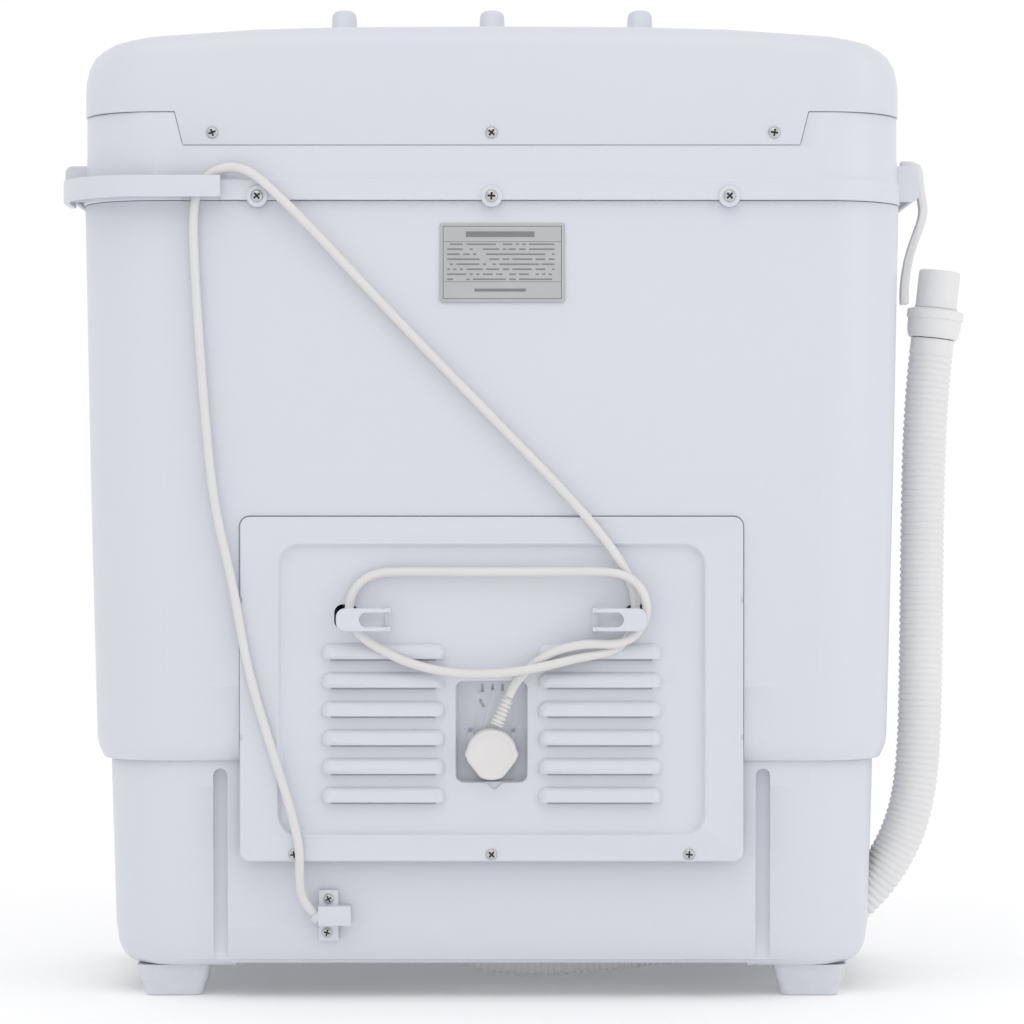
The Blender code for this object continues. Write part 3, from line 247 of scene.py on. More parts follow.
def swept_tube(name, points, widths, sides):
    """A round skin along a line, with a radius at each point and a face on each end."""
    bm = bmesh.new()
    along = (points[1] - points[0]).normalized()
    across = along.orthogonal().normalized()
    rings = []
    for index, point in enumerate(points):
        ahead = points[min(index + 1, len(points) - 1)] - points[max(index - 1, 0)]
        ahead.normalize()
        across = (across - ahead * across.dot(ahead)).normalized()
        aside = ahead.cross(across)
        rings.append([bm.verts.new(point + (across * math.cos(turn) + aside * math.sin(turn)) * widths[index])
                      for turn in [2 * math.pi * side / sides for side in range(sides)]])
    for first, second in zip(rings, rings[1:]):
        for side in range(sides):
            after = (side + 1) % sides
            bm.faces.new((first[side], first[after], second[after], second[side]))
    bm.faces.new(list(reversed(rings[0])))
    bm.faces.new(rings[-1])
    return smooth_mesh(name, bm, 50.0)


def dress(piece, body, slot, finish, *nodes):
    """Gives a piece its finish, its body and the solids that it stands for."""
    piece.data.materials.clear()
    piece.data.materials.append(finish)
    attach(piece, body)
    if nodes:
        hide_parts(*nodes)
    return piece


pvc = Finish("lead_pvc", Roughness=0.42, Specular_IOR_Level=0.45)
grime = pvc.speckle(38.0)
pvc.bumped(pvc.speckle(900.0, 2.0), 0.25, 0.0002)
lead_pvc = pvc.looks(Base_Color=pvc.mixed(grime, (0.700, 0.688, 0.680), (0.750, 0.740, 0.735)),
                     Roughness=0.36 + grime * 0.12)

lead_points, lead_length = drawn_line(LEAD_ROUTE, 0.003)
lead = swept_tube("mains_lead", lead_points, [LEAD_WIDTH / 2] * len(lead_points), 16)
dress(lead, "machine", "off_white_moulding", lead_pvc, "power_cord")


# ---- Mains plug and its strain relief ------------------------------------------------------------
# A round two-pin moulded plug.  Its flat back faces out, and the lead enters its edge through a
# ribbed sleeve.
PLUG_Z = 0.173


def stacked_rings(bm, rings, close=(True, True)):
    """Skin over a stack of rings of places that all have the same number of points."""
    rows = [[bm.verts.new(place) for place in ring] for ring in rings]
    for lower, upper in zip(rows, rows[1:]):
        for index in range(len(lower)):
            after = (index + 1) % len(lower)
            bm.faces.new((lower[index], lower[after], upper[after], upper[index]))
    if close[0]:
        bm.faces.new(list(reversed(rows[0])))
    if close[1]:
        bm.faces.new(rows[-1])


def plug_ring(y, size):
    """Outline of the plug: a circle with a flat at each lower side and a small lug at each side."""
    ring = []
    for step in range(72):
        turn = math.radians(5 * step)
        radius = 0.0178
        for flat in (math.radians(-38), math.radians(218)):
            off = math.atan2(math.sin(turn - flat), math.cos(turn - flat))
            if abs(off) < 0.42:
                radius = min(radius, 0.0178 * math.cos(0.42) / math.cos(off))
        for lug in (0.0, math.pi):
            off = math.atan2(math.sin(turn - lug), math.cos(turn - lug))
            radius += 0.0009 * max(0.0, 1.0 - (off / 0.16) ** 2)
        ring.append((math.cos(turn) * radius * size, y, PLUG_Z + math.sin(turn) * radius * size))
    return ring


bm = bmesh.new()
stacked_rings(bm, [plug_ring(y, size) for y, size in (
    (0.1528, 0.90), (0.1530, 0.97), (0.1538, 1.0), (0.1630, 1.0), (0.1634, 0.985), (0.1640, 0.985),
    (0.1644, 1.0), (0.1712, 0.995), (0.1733, 0.975), (0.1747, 0.935), (0.1752, 0.89), (0.1752, 0.84),
    (0.1748, 0.81), (0.1748, 0.50), (0.1750, 0.30))])
plug = smooth_mesh("mains_plug", bm, 40.0)
dress(plug, "machine", "off_white_moulding", lead_pvc, "power_plug")

nickel = Finish("pin_nickel", Metallic=1.0, Roughness=0.25)
streak = nickel.speckle(160.0)
bright_nickel = nickel.looks(Base_Color=nickel.mixed(streak, (0.62, 0.61, 0.58), (0.72, 0.71, 0.69)),
                             Roughness=0.2 + streak * 0.16)
bm = bmesh.new()
for side in (-1, 1):
    stacked_rings(bm, [[(side * 0.0095 + math.cos(math.radians(15 * step)) * radius, y,
                         PLUG_Z + math.sin(math.radians(15 * step)) * radius) for step in range(24)]
                       for y, radius in ((0.1345, 0.0012), (0.1348, 0.0019), (0.1356, 0.0023),
                                         (0.1529, 0.0023))])
dress(smooth_mesh("plug_pins", bm), "machine", "bright_steel", bright_nickel)

tip = Vector(LEAD_ROUTE[-1])
inward = (tip - Vector(LEAD_ROUTE[-2])).normalized()
profile = [(0.0008, 0.0034), (0.0012, 0.0038)]
for rib in range(6):
    start, size = 0.0018 + rib * 0.0030, 0.0040 + rib * 0.00014
    profile += [(start, size - 0.0010), (start + 0.0009, size - 0.0010), (start + 0.0011, size),
                (start + 0.0027, size), (start + 0.0029, size - 0.0010)]
profile += [(0.0205, 0.0048), (0.0214, 0.0048)]
line = [tip + inward * reach for reach, radius in profile]
relief = swept_tube("plug_strain_sleeve", line, [radius for reach, radius in profile], 24)
dress(relief, "machine", "off_white_moulding", lead_pvc, "plug_strain_relief")


# ---- Drain hose, cuff and nozzle -----------------------------------------------------------------
# A corrugated hose in off-white polyethylene.  It leaves the drain valve under the base, comes
# out of the side and stands up beside the body, with a push-on cuff and nozzle on its end.
HOSE_ROUTE = [
    (0.1100, 0.0850, 0.1514), (0.1096, 0.0850, 0.1400), (0.1049, 0.0848, 0.1180), (0.0931, 0.0838, 0.0900),
    (0.0698, 0.0815, 0.0600), (0.0367, 0.0785, 0.0360), (0.0060, 0.0760, 0.0248), (-0.0300, 0.0750, 0.0218),
    (-0.0680, 0.0750, 0.0240), (-0.1100, 0.0750, 0.0290), (-0.1500, 0.0750, 0.0330), (-0.1850, 0.0750, 0.0362),
    (-0.2150, 0.0750, 0.0390), (-0.2440, 0.0750, 0.0472), (-0.2690, 0.0750, 0.0655), (-0.2880, 0.0750, 0.0905),
    (-0.3004, 0.0750, 0.1170), (-0.3068, 0.0750, 0.1470), (-0.3095, 0.0750, 0.1850), (-0.3105, 0.0750, 0.2500),
    (-0.3112, 0.0750, 0.3300), (-0.3126, 0.0750, 0.3950), (-0.3152, 0.0750, 0.4350), (-0.3188, 0.0750, 0.4672),
]
HOSE_WIDTH, HOSE_PITCH = 0.032, 0.0046

hose_points, hose_length = drawn_line(HOSE_ROUTE, HOSE_PITCH / 4)
ribs = []
for index in range(len(hose_points)):
    plain = min(index, len(hose_points) - 1 - index) < 8
    ribs.append(0.0156 if plain else (0.0148, 0.0156, 0.0160, 0.0156)[index % 4])
hose = swept_tube("corrugated_hose", hose_points, ribs, 26)
poly = Finish("hose_polythene", Roughness=0.45, Specular_IOR_Level=0.4)
cloud = poly.speckle(16.0)
dust = poly.speckle(70.0, 4.0)
poly.bumped(poly.speckle(420.0, 2.0), 0.2, 0.0002)
hose_polythene = poly.looks(Base_Color=poly.mixed(cloud, (0.745, 0.745, 0.750), (0.800, 0.798, 0.798)),
                            Roughness=0.40 + dust * 0.14)
dress(hose, "machine", "off_white_moulding", hose_polythene, "drain_hose")

hose_tilt = Vector((-0.108, 0.0, 1.0)).normalized()
hose_end = Vector(HOSE_ROUTE[-1]) + hose_tilt * 0.0006


def turned_piece(name, profile, base, direction, sides=48, angle=35.0):
    """A (radius, height) profile turned about a line; a radius of 0 closes it."""
    bm = bmesh.new()
    turn = direction.to_track_quat("Z", "Y").to_matrix()
    rings = []
    for radius, height in profile:
        if radius == 0:
            rings.append([bm.verts.new(base + direction * height)])
        else:
            rings.append([bm.verts.new(base + turn @ Vector((
                math.cos(2 * math.pi * side / sides) * radius, math.sin(2 * math.pi * side / sides) * radius,
                height))) for side in range(sides)])
    pairs = list(zip(rings, rings[1:]))
    if len(rings[0]) > 1 and len(rings[-1]) > 1:
        pairs.append((rings[-1], rings[0]))
    for first, second in pairs:
        for side in range(sides):
            after = (side + 1) % sides
            if len(first) == 1:
                bm.faces.new((first[0], second[after], second[side]))
            elif len(second) == 1:
                bm.faces.new((first[side], first[after], second[0]))
            else:
                bm.faces.new((first[side], first[after], second[after], second[side]))
    return smooth_mesh(name, bm, angle)


cuff = turned_piece("hose_push_cuff", [
    (0, 0.0), (0.0172, 0.0), (0.0176, 0.0004), (0.0184, 0.0022), (0.0191, 0.0070), (0.0193, 0.0128),
    (0.0194, 0.0135), (0.0202, 0.0140), (0.0203, 0.0146), (0.0203, 0.0188), (0.0200, 0.0198),
    (0.0190, 0.0204), (0.0172, 0.0208), (0.0160, 0.0215), (0, 0.0215)], hose_end, hose_tilt)
dress(cuff, "machine", "off_white_moulding", hose_polythene, "hose_cuff")
nozzle = turned_piece("hose_end_nozzle", [
    (0.0153, 0.0218), (0.0153, 0.0228), (0.0149, 0.0234), (0.0149, 0.0462), (0.0147, 0.0478), (0.0141, 0.0488),
    (0.0133, 0.0490), (0.0127, 0.0486), (0.0125, 0.0470), (0.0125, 0.0218)], hose_end, hose_tilt)
dress(nozzle, "machine", "off_white_moulding", hose_polythene, "hose_nozzle")


# ---- Hose hook -----------------------------------------------------------------------------------
# A bent plastic strap that clips over the side handle and lies down the side beside the hose.
HOOK_LINE = [(-0.2955, 0.5928), (-0.3045, 0.5928), (-0.3079, 0.5912), (-0.3086, 0.5868), (-0.3090, 0.5800),
             (-0.3105, 0.5690), (-0.3128, 0.5583), (-0.3082, 0.5455), (-0.3028, 0.5315), (-0.2995, 0.5170),
             (-0.2980, 0.5030), (-0.2982, 0.4925)]
HOOK_Y = 0.075


def settled(piece, angle=32.0):
    """Applies a piece's modifiers and shades it smooth with sharp creases."""
    graph = bpy.context.evaluated_depsgraph_get()
    mesh = bpy.data.meshes.new_from_object(piece.evaluated_get(graph))
    piece.modifiers.clear()
    piece.data = mesh
    mesh.polygons.foreach_set("use_smooth", [True] * len(mesh.polygons))
    mesh.set_sharp_from_angle(angle=math.radians(angle))
    return piece


def eased(piece, width, segments=2, angle=30.0, crease=32.0, flat_from=0.0015):
    """Rounds a piece's edges, as a mould does; its large many-sided faces stay flat."""
    bevel = piece.modifiers.new("ease", "BEVEL")
    bevel.width, bevel.segments, bevel.limit_method = width, segments, "ANGLE"
    bevel.angle_limit, bevel.harden_normals = math.radians(angle), False
    bevel.miter_outer = "MITER_ARC"
    weighted = piece.modifiers.new("shade", "WEIGHTED_NORMAL")
    weighted.keep_sharp = True
    settled(piece, crease)
    for polygon in piece.data.polygons:
        if len(polygon.vertices) > 6 and polygon.area > flat_from:
            polygon.use_smooth = False
    return piece


def pushed_outline(bm, outline, start, end, axis):
    """A flat outline pushed along an axis: (x, y) along Z, (x, z) along Y or (y, z) along X."""
    def at(pair, level):
        return {"Z": (pair[0], pair[1], level), "Y": (pair[0], level, pair[1]), "X": (level, *pair)}[axis]
    stacked_rings(bm, [[at(pair, start) for pair in outline], [at(pair, end) for pair in outline]])


line = drawn_line([(x, HOOK_Y, z) for x, z in HOOK_LINE], 0.004)[0]
left, right = [], []
for index, point in enumerate(line):
    ahead = line[min(index + 1, len(line) - 1)] - line[max(index - 1, 0)]
    aside = Vector((-ahead.z, 0.0, ahead.x)).normalized() * 0.0028
    left.append(((point + aside).x, (point + aside).z))
    right.append(((point - aside).x, (point - aside).z))
bm = bmesh.new()
pushed_outline(bm, left + list(reversed(right)), HOOK_Y - 0.0068, HOOK_Y + 0.0068, "Y")
hook = eased(smooth_mesh("hose_strap_hook", bm), 0.0008, 2, 40.0)
dress(hook, "machine", "off_white_moulding", hose_polythene, "hose_hook")


# ---- Base ----------------------------------------------------------------------------------------
# A deep white plastic moulding that carries both motors.  It stands on four feet, has a drainage
# groove at each side of the back, and a notch in its side wall where the hose comes out.
BODY_Y = -0.004
BASE_RINGS = [(0.0220, 0.2520, 0.1395, 0.033), (0.0226, 0.2555, 0.1425, 0.036),
              (0.0244, 0.2592, 0.1462, 0.040), (0.0270, 0.2620, 0.1490, 0.042),
              (0.0310, 0.2645, 0.1510, 0.044), (0.0360, 0.2665, 0.1525, 0.045),
              (0.0500, 0.2685, 0.1545, 0.047), (0.1500, 0.2715, 0.1570, 0.048),
              (0.1900, 0.2725, 0.1575, 0.048)]


def rounded_outline(half_x, half_y, radius, steps=10, middle=(0.0, 0.0)):
    """A rectangle with round corners, as (x, y) pairs anticlockwise."""
    points = []
    for quarter, (sx, sy) in enumerate([(1, 1), (-1, 1), (-1, -1), (1, -1)]):
        for step in range(steps + 1):
            turn = math.radians(90 * (quarter + step / steps))
            points.append((middle[0] + sx * (half_x - radius) + radius * math.cos(turn),
                           middle[1] + sy * (half_y - radius) + radius * math.sin(turn)))
    return points


def body_rings(sections, middle=(0.0, BODY_Y), steps=10):
    """Rings of places for a stack of (height, half width, half depth, corner radius)."""
    return [[(x, y, z) for x, y in rounded_outline(half_x, half_y, radius, steps, middle)]
            for z, half_x, half_y, radius in sections]


def skin(name, rings, close=(True, True)):
    """One smooth mesh over a stack of rings."""
    bm = bmesh.new()
    stacked_rings(bm, rings, close)
    return smooth_mesh(name, bm)


def blocks(name, corners):
    """Square-edged blocks between pairs of corners, in one mesh."""
    bm = bmesh.new()
    for (x0, y0, z0), (x1, y1, z1) in corners:
        stacked_rings(bm, [[(x0, y0, z), (x1, y0, z), (x1, y1, z), (x0, y1, z)] for z in (z0, z1)])
    return smooth_mesh(name, bm)


def both_sides(corners):
    """The blocks and their mirror images across the middle of the machine."""
    return corners + [((-x1, y0, z0), (-x0, y1, z1)) for (x0, y0, z0), (x1, y1, z1) in corners]


def shaped(piece, tool, operation="DIFFERENCE"):
    """Cuts a tool out of a piece; the tool is used up."""
    added = piece.modifiers.new("shape", "BOOLEAN")
    added.operation, added.object, added.solver = operation, tool, "EXACT"
    settled(piece)
    bpy.data.objects.remove(tool)
    return piece


def joined(piece, tool):
    """Joins a tool onto a piece."""
    return shaped(piece, tool, "UNION")


shell = Finish("white_moulding", Roughness=0.36, Specular_IOR_Level=0.5)
haze = shell.speckle(4.0, 2.0)
smear = shell.speckle(26.0, 4.0)
shell.bumped(shell.speckle(1500.0, 2.0), 0.18, 0.00012)
white_moulding = shell.looks(Base_Color=shell.mixed(haze, (0.660, 0.680, 0.738), (0.684, 0.702, 0.758)),
                             Roughness=0.31 + smear * 0.12)

base = skin("base_moulding", body_rings(BASE_RINGS))
shaped(base, skin("room", body_rings([(0.086, 0.2675, 0.1530, 0.045), (0.200, 0.2690, 0.1540, 0.045)])))
joined(base, blocks("groove_backs", both_sides([((0.1825, 0.1340, 0.0850), (0.1985, 0.1510, 0.1650))])))
shaped(base, blocks("tunnel", [((-0.1800, -0.1500, 0.0), (0.1800, 0.1420, 0.083))]))
shaped(base, blocks("cross_tunnel", [((-0.2640, -0.1035, 0.0), (0.2640, 0.0955, 0.083))]))
bm = bmesh.new()
for side in (-1, 1):
    groove_x = side * 0.1905
    arch = [(groove_x + 0.005 * math.cos(turn), 0.1570 + 0.005 * math.sin(turn))
            for turn in [math.radians(15 * step) for step in range(13)]]
    pushed_outline(bm, [(groove_x + 0.005, 0.0)] + arch + [(groove_x - 0.005, 0.0)], 0.1450, 0.2, "Y")
shaped(base, smooth_mesh("grooves", bm))
shaped(base, blocks("window", [((-0.1640, 0.12, 0.1130), (0.1640, 0.2, 0.25))]))
shaped(base, blocks("hose_side_notch", [((-0.30, 0.0565, -0.01), (-0.2560, 0.0935, 0.1000))]))
shaped(base, blocks("hose_floor_hole", [((0.0620, 0.0640, 0.07), (0.1300, 0.1060, 0.10))]))
dress(eased(base, 0.0011), "machine", "white_moulding", white_moulding, "base_housing")


# ---- Feet ----------------------------------------------------------------------------------------
# Four tapered plugs of grey-white plastic pushed up into the corners of the base.
tread = Finish("foot_moulding", Roughness=0.6, Specular_IOR_Level=0.4)
scuff = tread.speckle(90.0, 4.0)
tread.bumped(tread.speckle(700.0, 3.0), 0.3, 0.0002)
foot_moulding = tread.looks(
    Base_Color=tread.mixed(scuff.above(0.56, 0.9), (0.70, 0.715, 0.76), (0.62, 0.635, 0.67)),
    Roughness=0.5 + scuff * 0.25)
for side, foot_x in (("left", -0.2255), ("right", 0.2255)):
    for end, foot_y in (("rear", 0.1140), ("front", -0.1220)):
        rings = [(0.0, 0.0192, 0.0157, 0.0045), (0.0006, 0.0199, 0.0164, 0.005),
                 (0.0016, 0.0203, 0.0166, 0.005), (0.0100, 0.0228, 0.0177, 0.0055),
                 (0.0104, 0.0232, 0.0180, 0.0057), (0.0217, 0.0260, 0.0190, 0.006)]
        foot = skin(f"foot_plug_{end}_{side}", body_rings(rings, (foot_x, foot_y), 5))
        dress(foot, "machine", "foot_moulding", foot_moulding, f"foot_{end}_{side}")


# ---- Cabinet -------------------------------------------------------------------------------------
# A one-piece wrap of white moulding, widening a little towards the top, that laps over the base
# and is screwed to the rim.  Its back is cut away behind the service panel.
CABINET_RINGS = [(0.1675, 0.2757, 0.1597, 0.0492), (0.1684, 0.2768, 0.1608, 0.0503),
                 (0.1710, 0.2782, 0.1622, 0.0517), (0.1750, 0.2799, 0.1639, 0.0534),
                 (0.1790, 0.2811, 0.1651, 0.0546), (0.1840, 0.2817, 0.1656, 0.0551),
                 (0.2200, 0.2827, 0.1661, 0.0553), (0.3700, 0.2865, 0.1680, 0.0560),
                 (0.5597, 0.2900, 0.1700, 0.0560)]
cabinet = skin("cabinet_wrap", body_rings(CABINET_RINGS, steps=14), (False, False))
wall = cabinet.modifiers.new("wall", "SOLIDIFY")
wall.thickness, wall.offset, wall.use_even_offset = 0.003, -1.0, True
settled(cabinet)
gap_outline = rounded_outline(0.1764, 0.1497, 0.0073, 8, (0.0, 0.1897))
shaped(cabinet, skin("panel_gap", [[(x, y, z) for x, z in gap_outline] for y in (0.10, 0.2)]))
dress(eased(cabinet, 0.0007), "machine", "white_moulding", white_moulding, "cabinet")


# ---- Rim and deck --------------------------------------------------------------------------------
# The moulded deck that both tubs hang from.  A band runs round it, with a handle along each side
# and a lip round one rear corner that the mains lead passes behind.
DECK_RINGS = [(0.5600, 0.2898, 0.1738, 0.057), (0.5606, 0.2905, 0.1745, 0.058),
              (0.5735, 0.2905, 0.1745, 0.058), (0.5747, 0.2902, 0.1741, 0.0577),
              (0.5757, 0.2894, 0.1730, 0.0567), (0.5772, 0.2890, 0.1722, 0.0560),
              (0.5970, 0.2884, 0.1717, 0.0560), (0.5988, 0.2880, 0.1713, 0.0556),
              (0.5996, 0.2874, 0.1707, 0.055), (0.6000, 0.2864, 0.1697, 0.054)]
CHEEK_RINGS = [(0.5900, 0.2884, 0.1717, 0.0560), (0.6207, 0.2884, 0.1717, 0.0560),
               (0.6214, 0.2882, 0.1714, 0.0558), (0.6217, 0.2877, 0.1710, 0.0553)]
SPIN_MIDDLE = Vector((0.152, -0.046, 0.0))
WASH_MIDDLE = Vector((-0.113, -0.046, 0.0))
LIDS = {"wash": (-0.262, 0.034), "spin": (0.044, 0.262)}
LID_AXIS_Y, LID_AXIS_Z = 0.040, 0.606


def disc_rings(middle, sizes, sides=64):
    """Rings of places for a stack of (height, radius)."""
    return [[(middle[0] + math.cos(2 * math.pi * side / sides) * radius,
              middle[1] + math.sin(2 * math.pi * side / sides) * radius, z) for side in range(sides)]
            for z, radius in sizes]


deck = skin("deck_and_rim", body_rings(DECK_RINGS, steps=14))
cheeks = skin("cheeks", body_rings(CHEEK_RINGS, steps=14))
bm = bmesh.new()
pushed_outline(bm, [(-0.2136, 0.58), (0.2136, 0.58), (0.2158, 0.5984), (0.2242, 0.6320), (-0.2242, 0.6320),
                    (-0.2158, 0.5984)], -0.3, 0.3, "Y")
shaped(cheeks, smooth_mesh("between", bm))
shaped(cheeks, blocks("before", [((-0.3, -0.3, 0.58), (0.3, 0.0540, 0.63))]))
shaped(deck, blocks("hood_rebate", [((-0.2150, 0.1550, 0.5984), (0.2150, 0.2, 0.61))]))
joined(deck, cheeks)
shaped(deck, skin("under_deck", body_rings([(0.55, 0.2870, 0.1665, 0.050), (0.597, 0.2830, 0.1650, 0.048)])))
shaped(deck, skin("wash_opening", body_rings([(0.59, 0.1350, 0.0890, 0.045), (0.61, 0.1350, 0.0890, 0.045)],
                                             (-0.113, -0.062), 12)))
shaped(deck, skin("spin_opening", disc_rings((0.152, -0.062), [(0.59, 0.088), (0.61, 0.088)])))
shaped(deck, blocks("console_opening", [((-0.2100, 0.0760, 0.59), (0.2100, 0.1480, 0.61))]))
bm = bmesh.new()
for side in (-1, 1):
    grip = [(0.2880, 0.5830), (0.2880, 0.5890), (0.2995, 0.5890), (0.3017, 0.5885), (0.3034, 0.5872),
            (0.3043, 0.5852), (0.3045, 0.5830), (0.3045, 0.5668), (0.3038, 0.5660), (0.3022, 0.5660),
            (0.3015, 0.5668), (0.3015, 0.5810), (0.3008, 0.5824), (0.2994, 0.5830)]
    pushed_outline(bm, [(side * x, z) for x, z in grip], -0.1000, 0.1120, "Y")
joined(deck, smooth_mesh("handles", bm))
bm = bmesh.new()
for side in (-1, 1):
    end_plate = [(0.2870, 0.5640), (0.2870, 0.5890), (0.2995, 0.5890), (0.3017, 0.5885), (0.3034, 0.5872),
                 (0.3043, 0.5852), (0.3045, 0.5830), (0.3045, 0.5690), (0.3038, 0.5660), (0.3020, 0.5642),
                 (0.2998, 0.5636)]
    pushed_outline(bm, [(side * x, z) for x, z in end_plate], 0.1070, 0.1120, "Y")
joined(deck, smooth_mesh("handle_ends", bm))
lip_middle = Vector((0.2425, 0.1185))
outer, inner = [], []
for step in range(19):
    turn = math.radians(5 * step)
    aim = Vector((math.cos(turn), math.sin(turn)))
    outer.append(tuple(lip_middle + aim * 0.062))
    inner.append(tuple(lip_middle + aim * 0.058))
lip = [(0.3045, 0.08)] + outer + [(0.1895, 0.1805), (0.1885, 0.1795), (0.1885, 0.1765)]
lip += list(reversed(inner)) + [(0.3005, 0.08)]
bm = bmesh.new()
pushed_outline(bm, lip, 0.5615, 0.5765, "Z")
joined(deck, smooth_mesh("corner_lip", bm))
shaped(deck, blocks("lead_recess", [((0.1890, 0.1665, 0.55), (0.2160, 0.1762, 0.5773))]))
for x in (-0.1660, 0.0, 0.1635):
    boss = [(0, 0.0), (0.0075, 0.0), (0.0075, 0.0050), (0.0070, 0.0055), (0, 0.0055)]
    joined(deck, turned_piece("boss", boss, Vector((x, 0.1667, 0.5625)), Vector((0, 1, 0)), 32))
joined(deck, blocks("front_grip", [((-0.0600, -0.1830, 0.5640), (0.0600, -0.1770, 0.5740))]))
posts = []
for start, end in LIDS.values():
    for x in (start + 0.0005, end - 0.0085):
        posts.append(((x, 0.0340, 0.5990), (x + 0.008, 0.0460, 0.6112)))
joined(deck, blocks("hinge_posts", posts))
for start, end in LIDS.values():
    reach = end - start + 0.01
    shaped(deck, turned_piece("pin_way", [(0, 0.0), (0.0023, 0.0), (0.0023, reach), (0, reach)],
                              Vector((start - 0.005, LID_AXIS_Y, LID_AXIS_Z)), Vector((1, 0, 0)), 16))
dress(eased(deck, 0.0008), "machine", "white_moulding", white_moulding, "top_frame")


# ---- Control hood --------------------------------------------------------------------------------
# The raised white hood behind the lids.  It covers the timers, its ends drop over the cheeks of
# the deck, and three screws through its back wall hold it down.
HOOD_STATIONS = [(0.0, 0.6830, 0.0), (0.1000, 0.6825, 0.0), (0.1635, 0.6808, 0.0), (0.2270, 0.6765, 0.0),
                 (0.2375, 0.6756, 0.0), (0.2520, 0.6733, 0.0022), (0.2630, 0.6710, 0.0070),
                 (0.2720, 0.6672, 0.0138), (0.2790, 0.6630, 0.0221), (0.2840, 0.6570, 0.0316),
                 (0.2868, 0.6510, 0.0417), (0.2875, 0.6480, 0.0500)]
FASCIA_SLOPE = 0.381
HOOD_LOW, HOOD_BACK, HOOD_HALF = 0.5987, 0.1682, 0.2886


def hood_section(top, drawn_in, low, shrink):
    """Section of the hood across its depth, with a rounded ridge."""
    back, front = HOOD_BACK - drawn_in - shrink, 0.052 + shrink
    slope = 0.6603 + min(0.0, top - 0.6745)
    level = top - 0.0004 - (back + shrink - 0.129) * FASCIA_SLOPE
    slope = slope - shrink + 0.8 * max(0.0, min(level - slope, 0.03)) * (drawn_in > 0.001)

    def on_slope(y):
        return slope + (y - 0.100) * FASCIA_SLOPE
    if shrink:
        inside = [(back - step, min(top - fall, on_slope(back - step))) for step, fall in (
            (0.0, 0.0190), (0.0100, 0.0070), (0.0260, 0.0040))]
        return [(back, low)] + inside + [(front + 0.0080, on_slope(front + 0.0080)),
                                         (front, on_slope(front) - 0.0060), (front, low)]
    shape = [(back, low)]
    for step in range(9):
        turn = math.radians(90 * step / 8)
        shape.append((back - 0.014 * (1 - math.cos(turn)), top - 0.016 * (1 - math.sin(turn))))
    shape += [(back - 0.0185, top - 0.0001), (back - 0.0222, top - 0.0009),
              (back - 0.0256, (top + on_slope(back - 0.0256)) / 2 + 0.0001),
              (back - 0.0290, on_slope(back - 0.0290)), (front + 0.0080, on_slope(front + 0.0080)),
              (front + 0.0040, on_slope(front + 0.0040) - 0.0004), (front + 0.0012, on_slope(front) - 0.0020),
              (front, on_slope(front) - 0.0052), (front, low)]
    return shape


def hood_rings(shrink, low):
    """Rings of places across the hood from end to end, drawn in on every side by a shrink."""
    half_width, last_station = HOOD_HALF - shrink, HOOD_STATIONS[-1][0]
    half = [(x * half_width / last_station, top, drawn_in) for x, top, drawn_in in HOOD_STATIONS]
    stations = [(-x, top, drawn_in) for x, top, drawn_in in reversed(half)] + half[1:]
    return [[(x, y, z) for y, z in hood_section(top, drawn_in, low, shrink)] for x, top, drawn_in in stations]


hood = skin("hood_moulding", hood_rings(0.0, HOOD_LOW))
shaped(hood, skin("hood_room", hood_rings(0.003, 0.58)))
bm = bmesh.new()
for side in (-1, 1):
    shoulder = [(side * 0.2155, 0.58), (side * 0.2155, HOOD_LOW), (side * 0.2213, 0.6220),
                (side * 0.30, 0.6220), (side * 0.30, 0.58)]
    pushed_outline(bm, shoulder, 0.04, 0.20, "Y")
shaped(hood, smooth_mesh("shoulders", bm))
shaped(hood, blocks("hood_foot", [((-0.23, 0.04, 0.58), (0.23, 0.1553, 0.6003))]))
shaped(hood, blocks("hood_seat", [((-0.2050, 0.0705, 0.62), (0.2050, 0.1295, 0.70))]))
eased(hood, 0.0007, 2, 34.0, 38.0, flat_from=1.0)
dress(hood, "machine", "white_moulding", white_moulding, "control_hood")


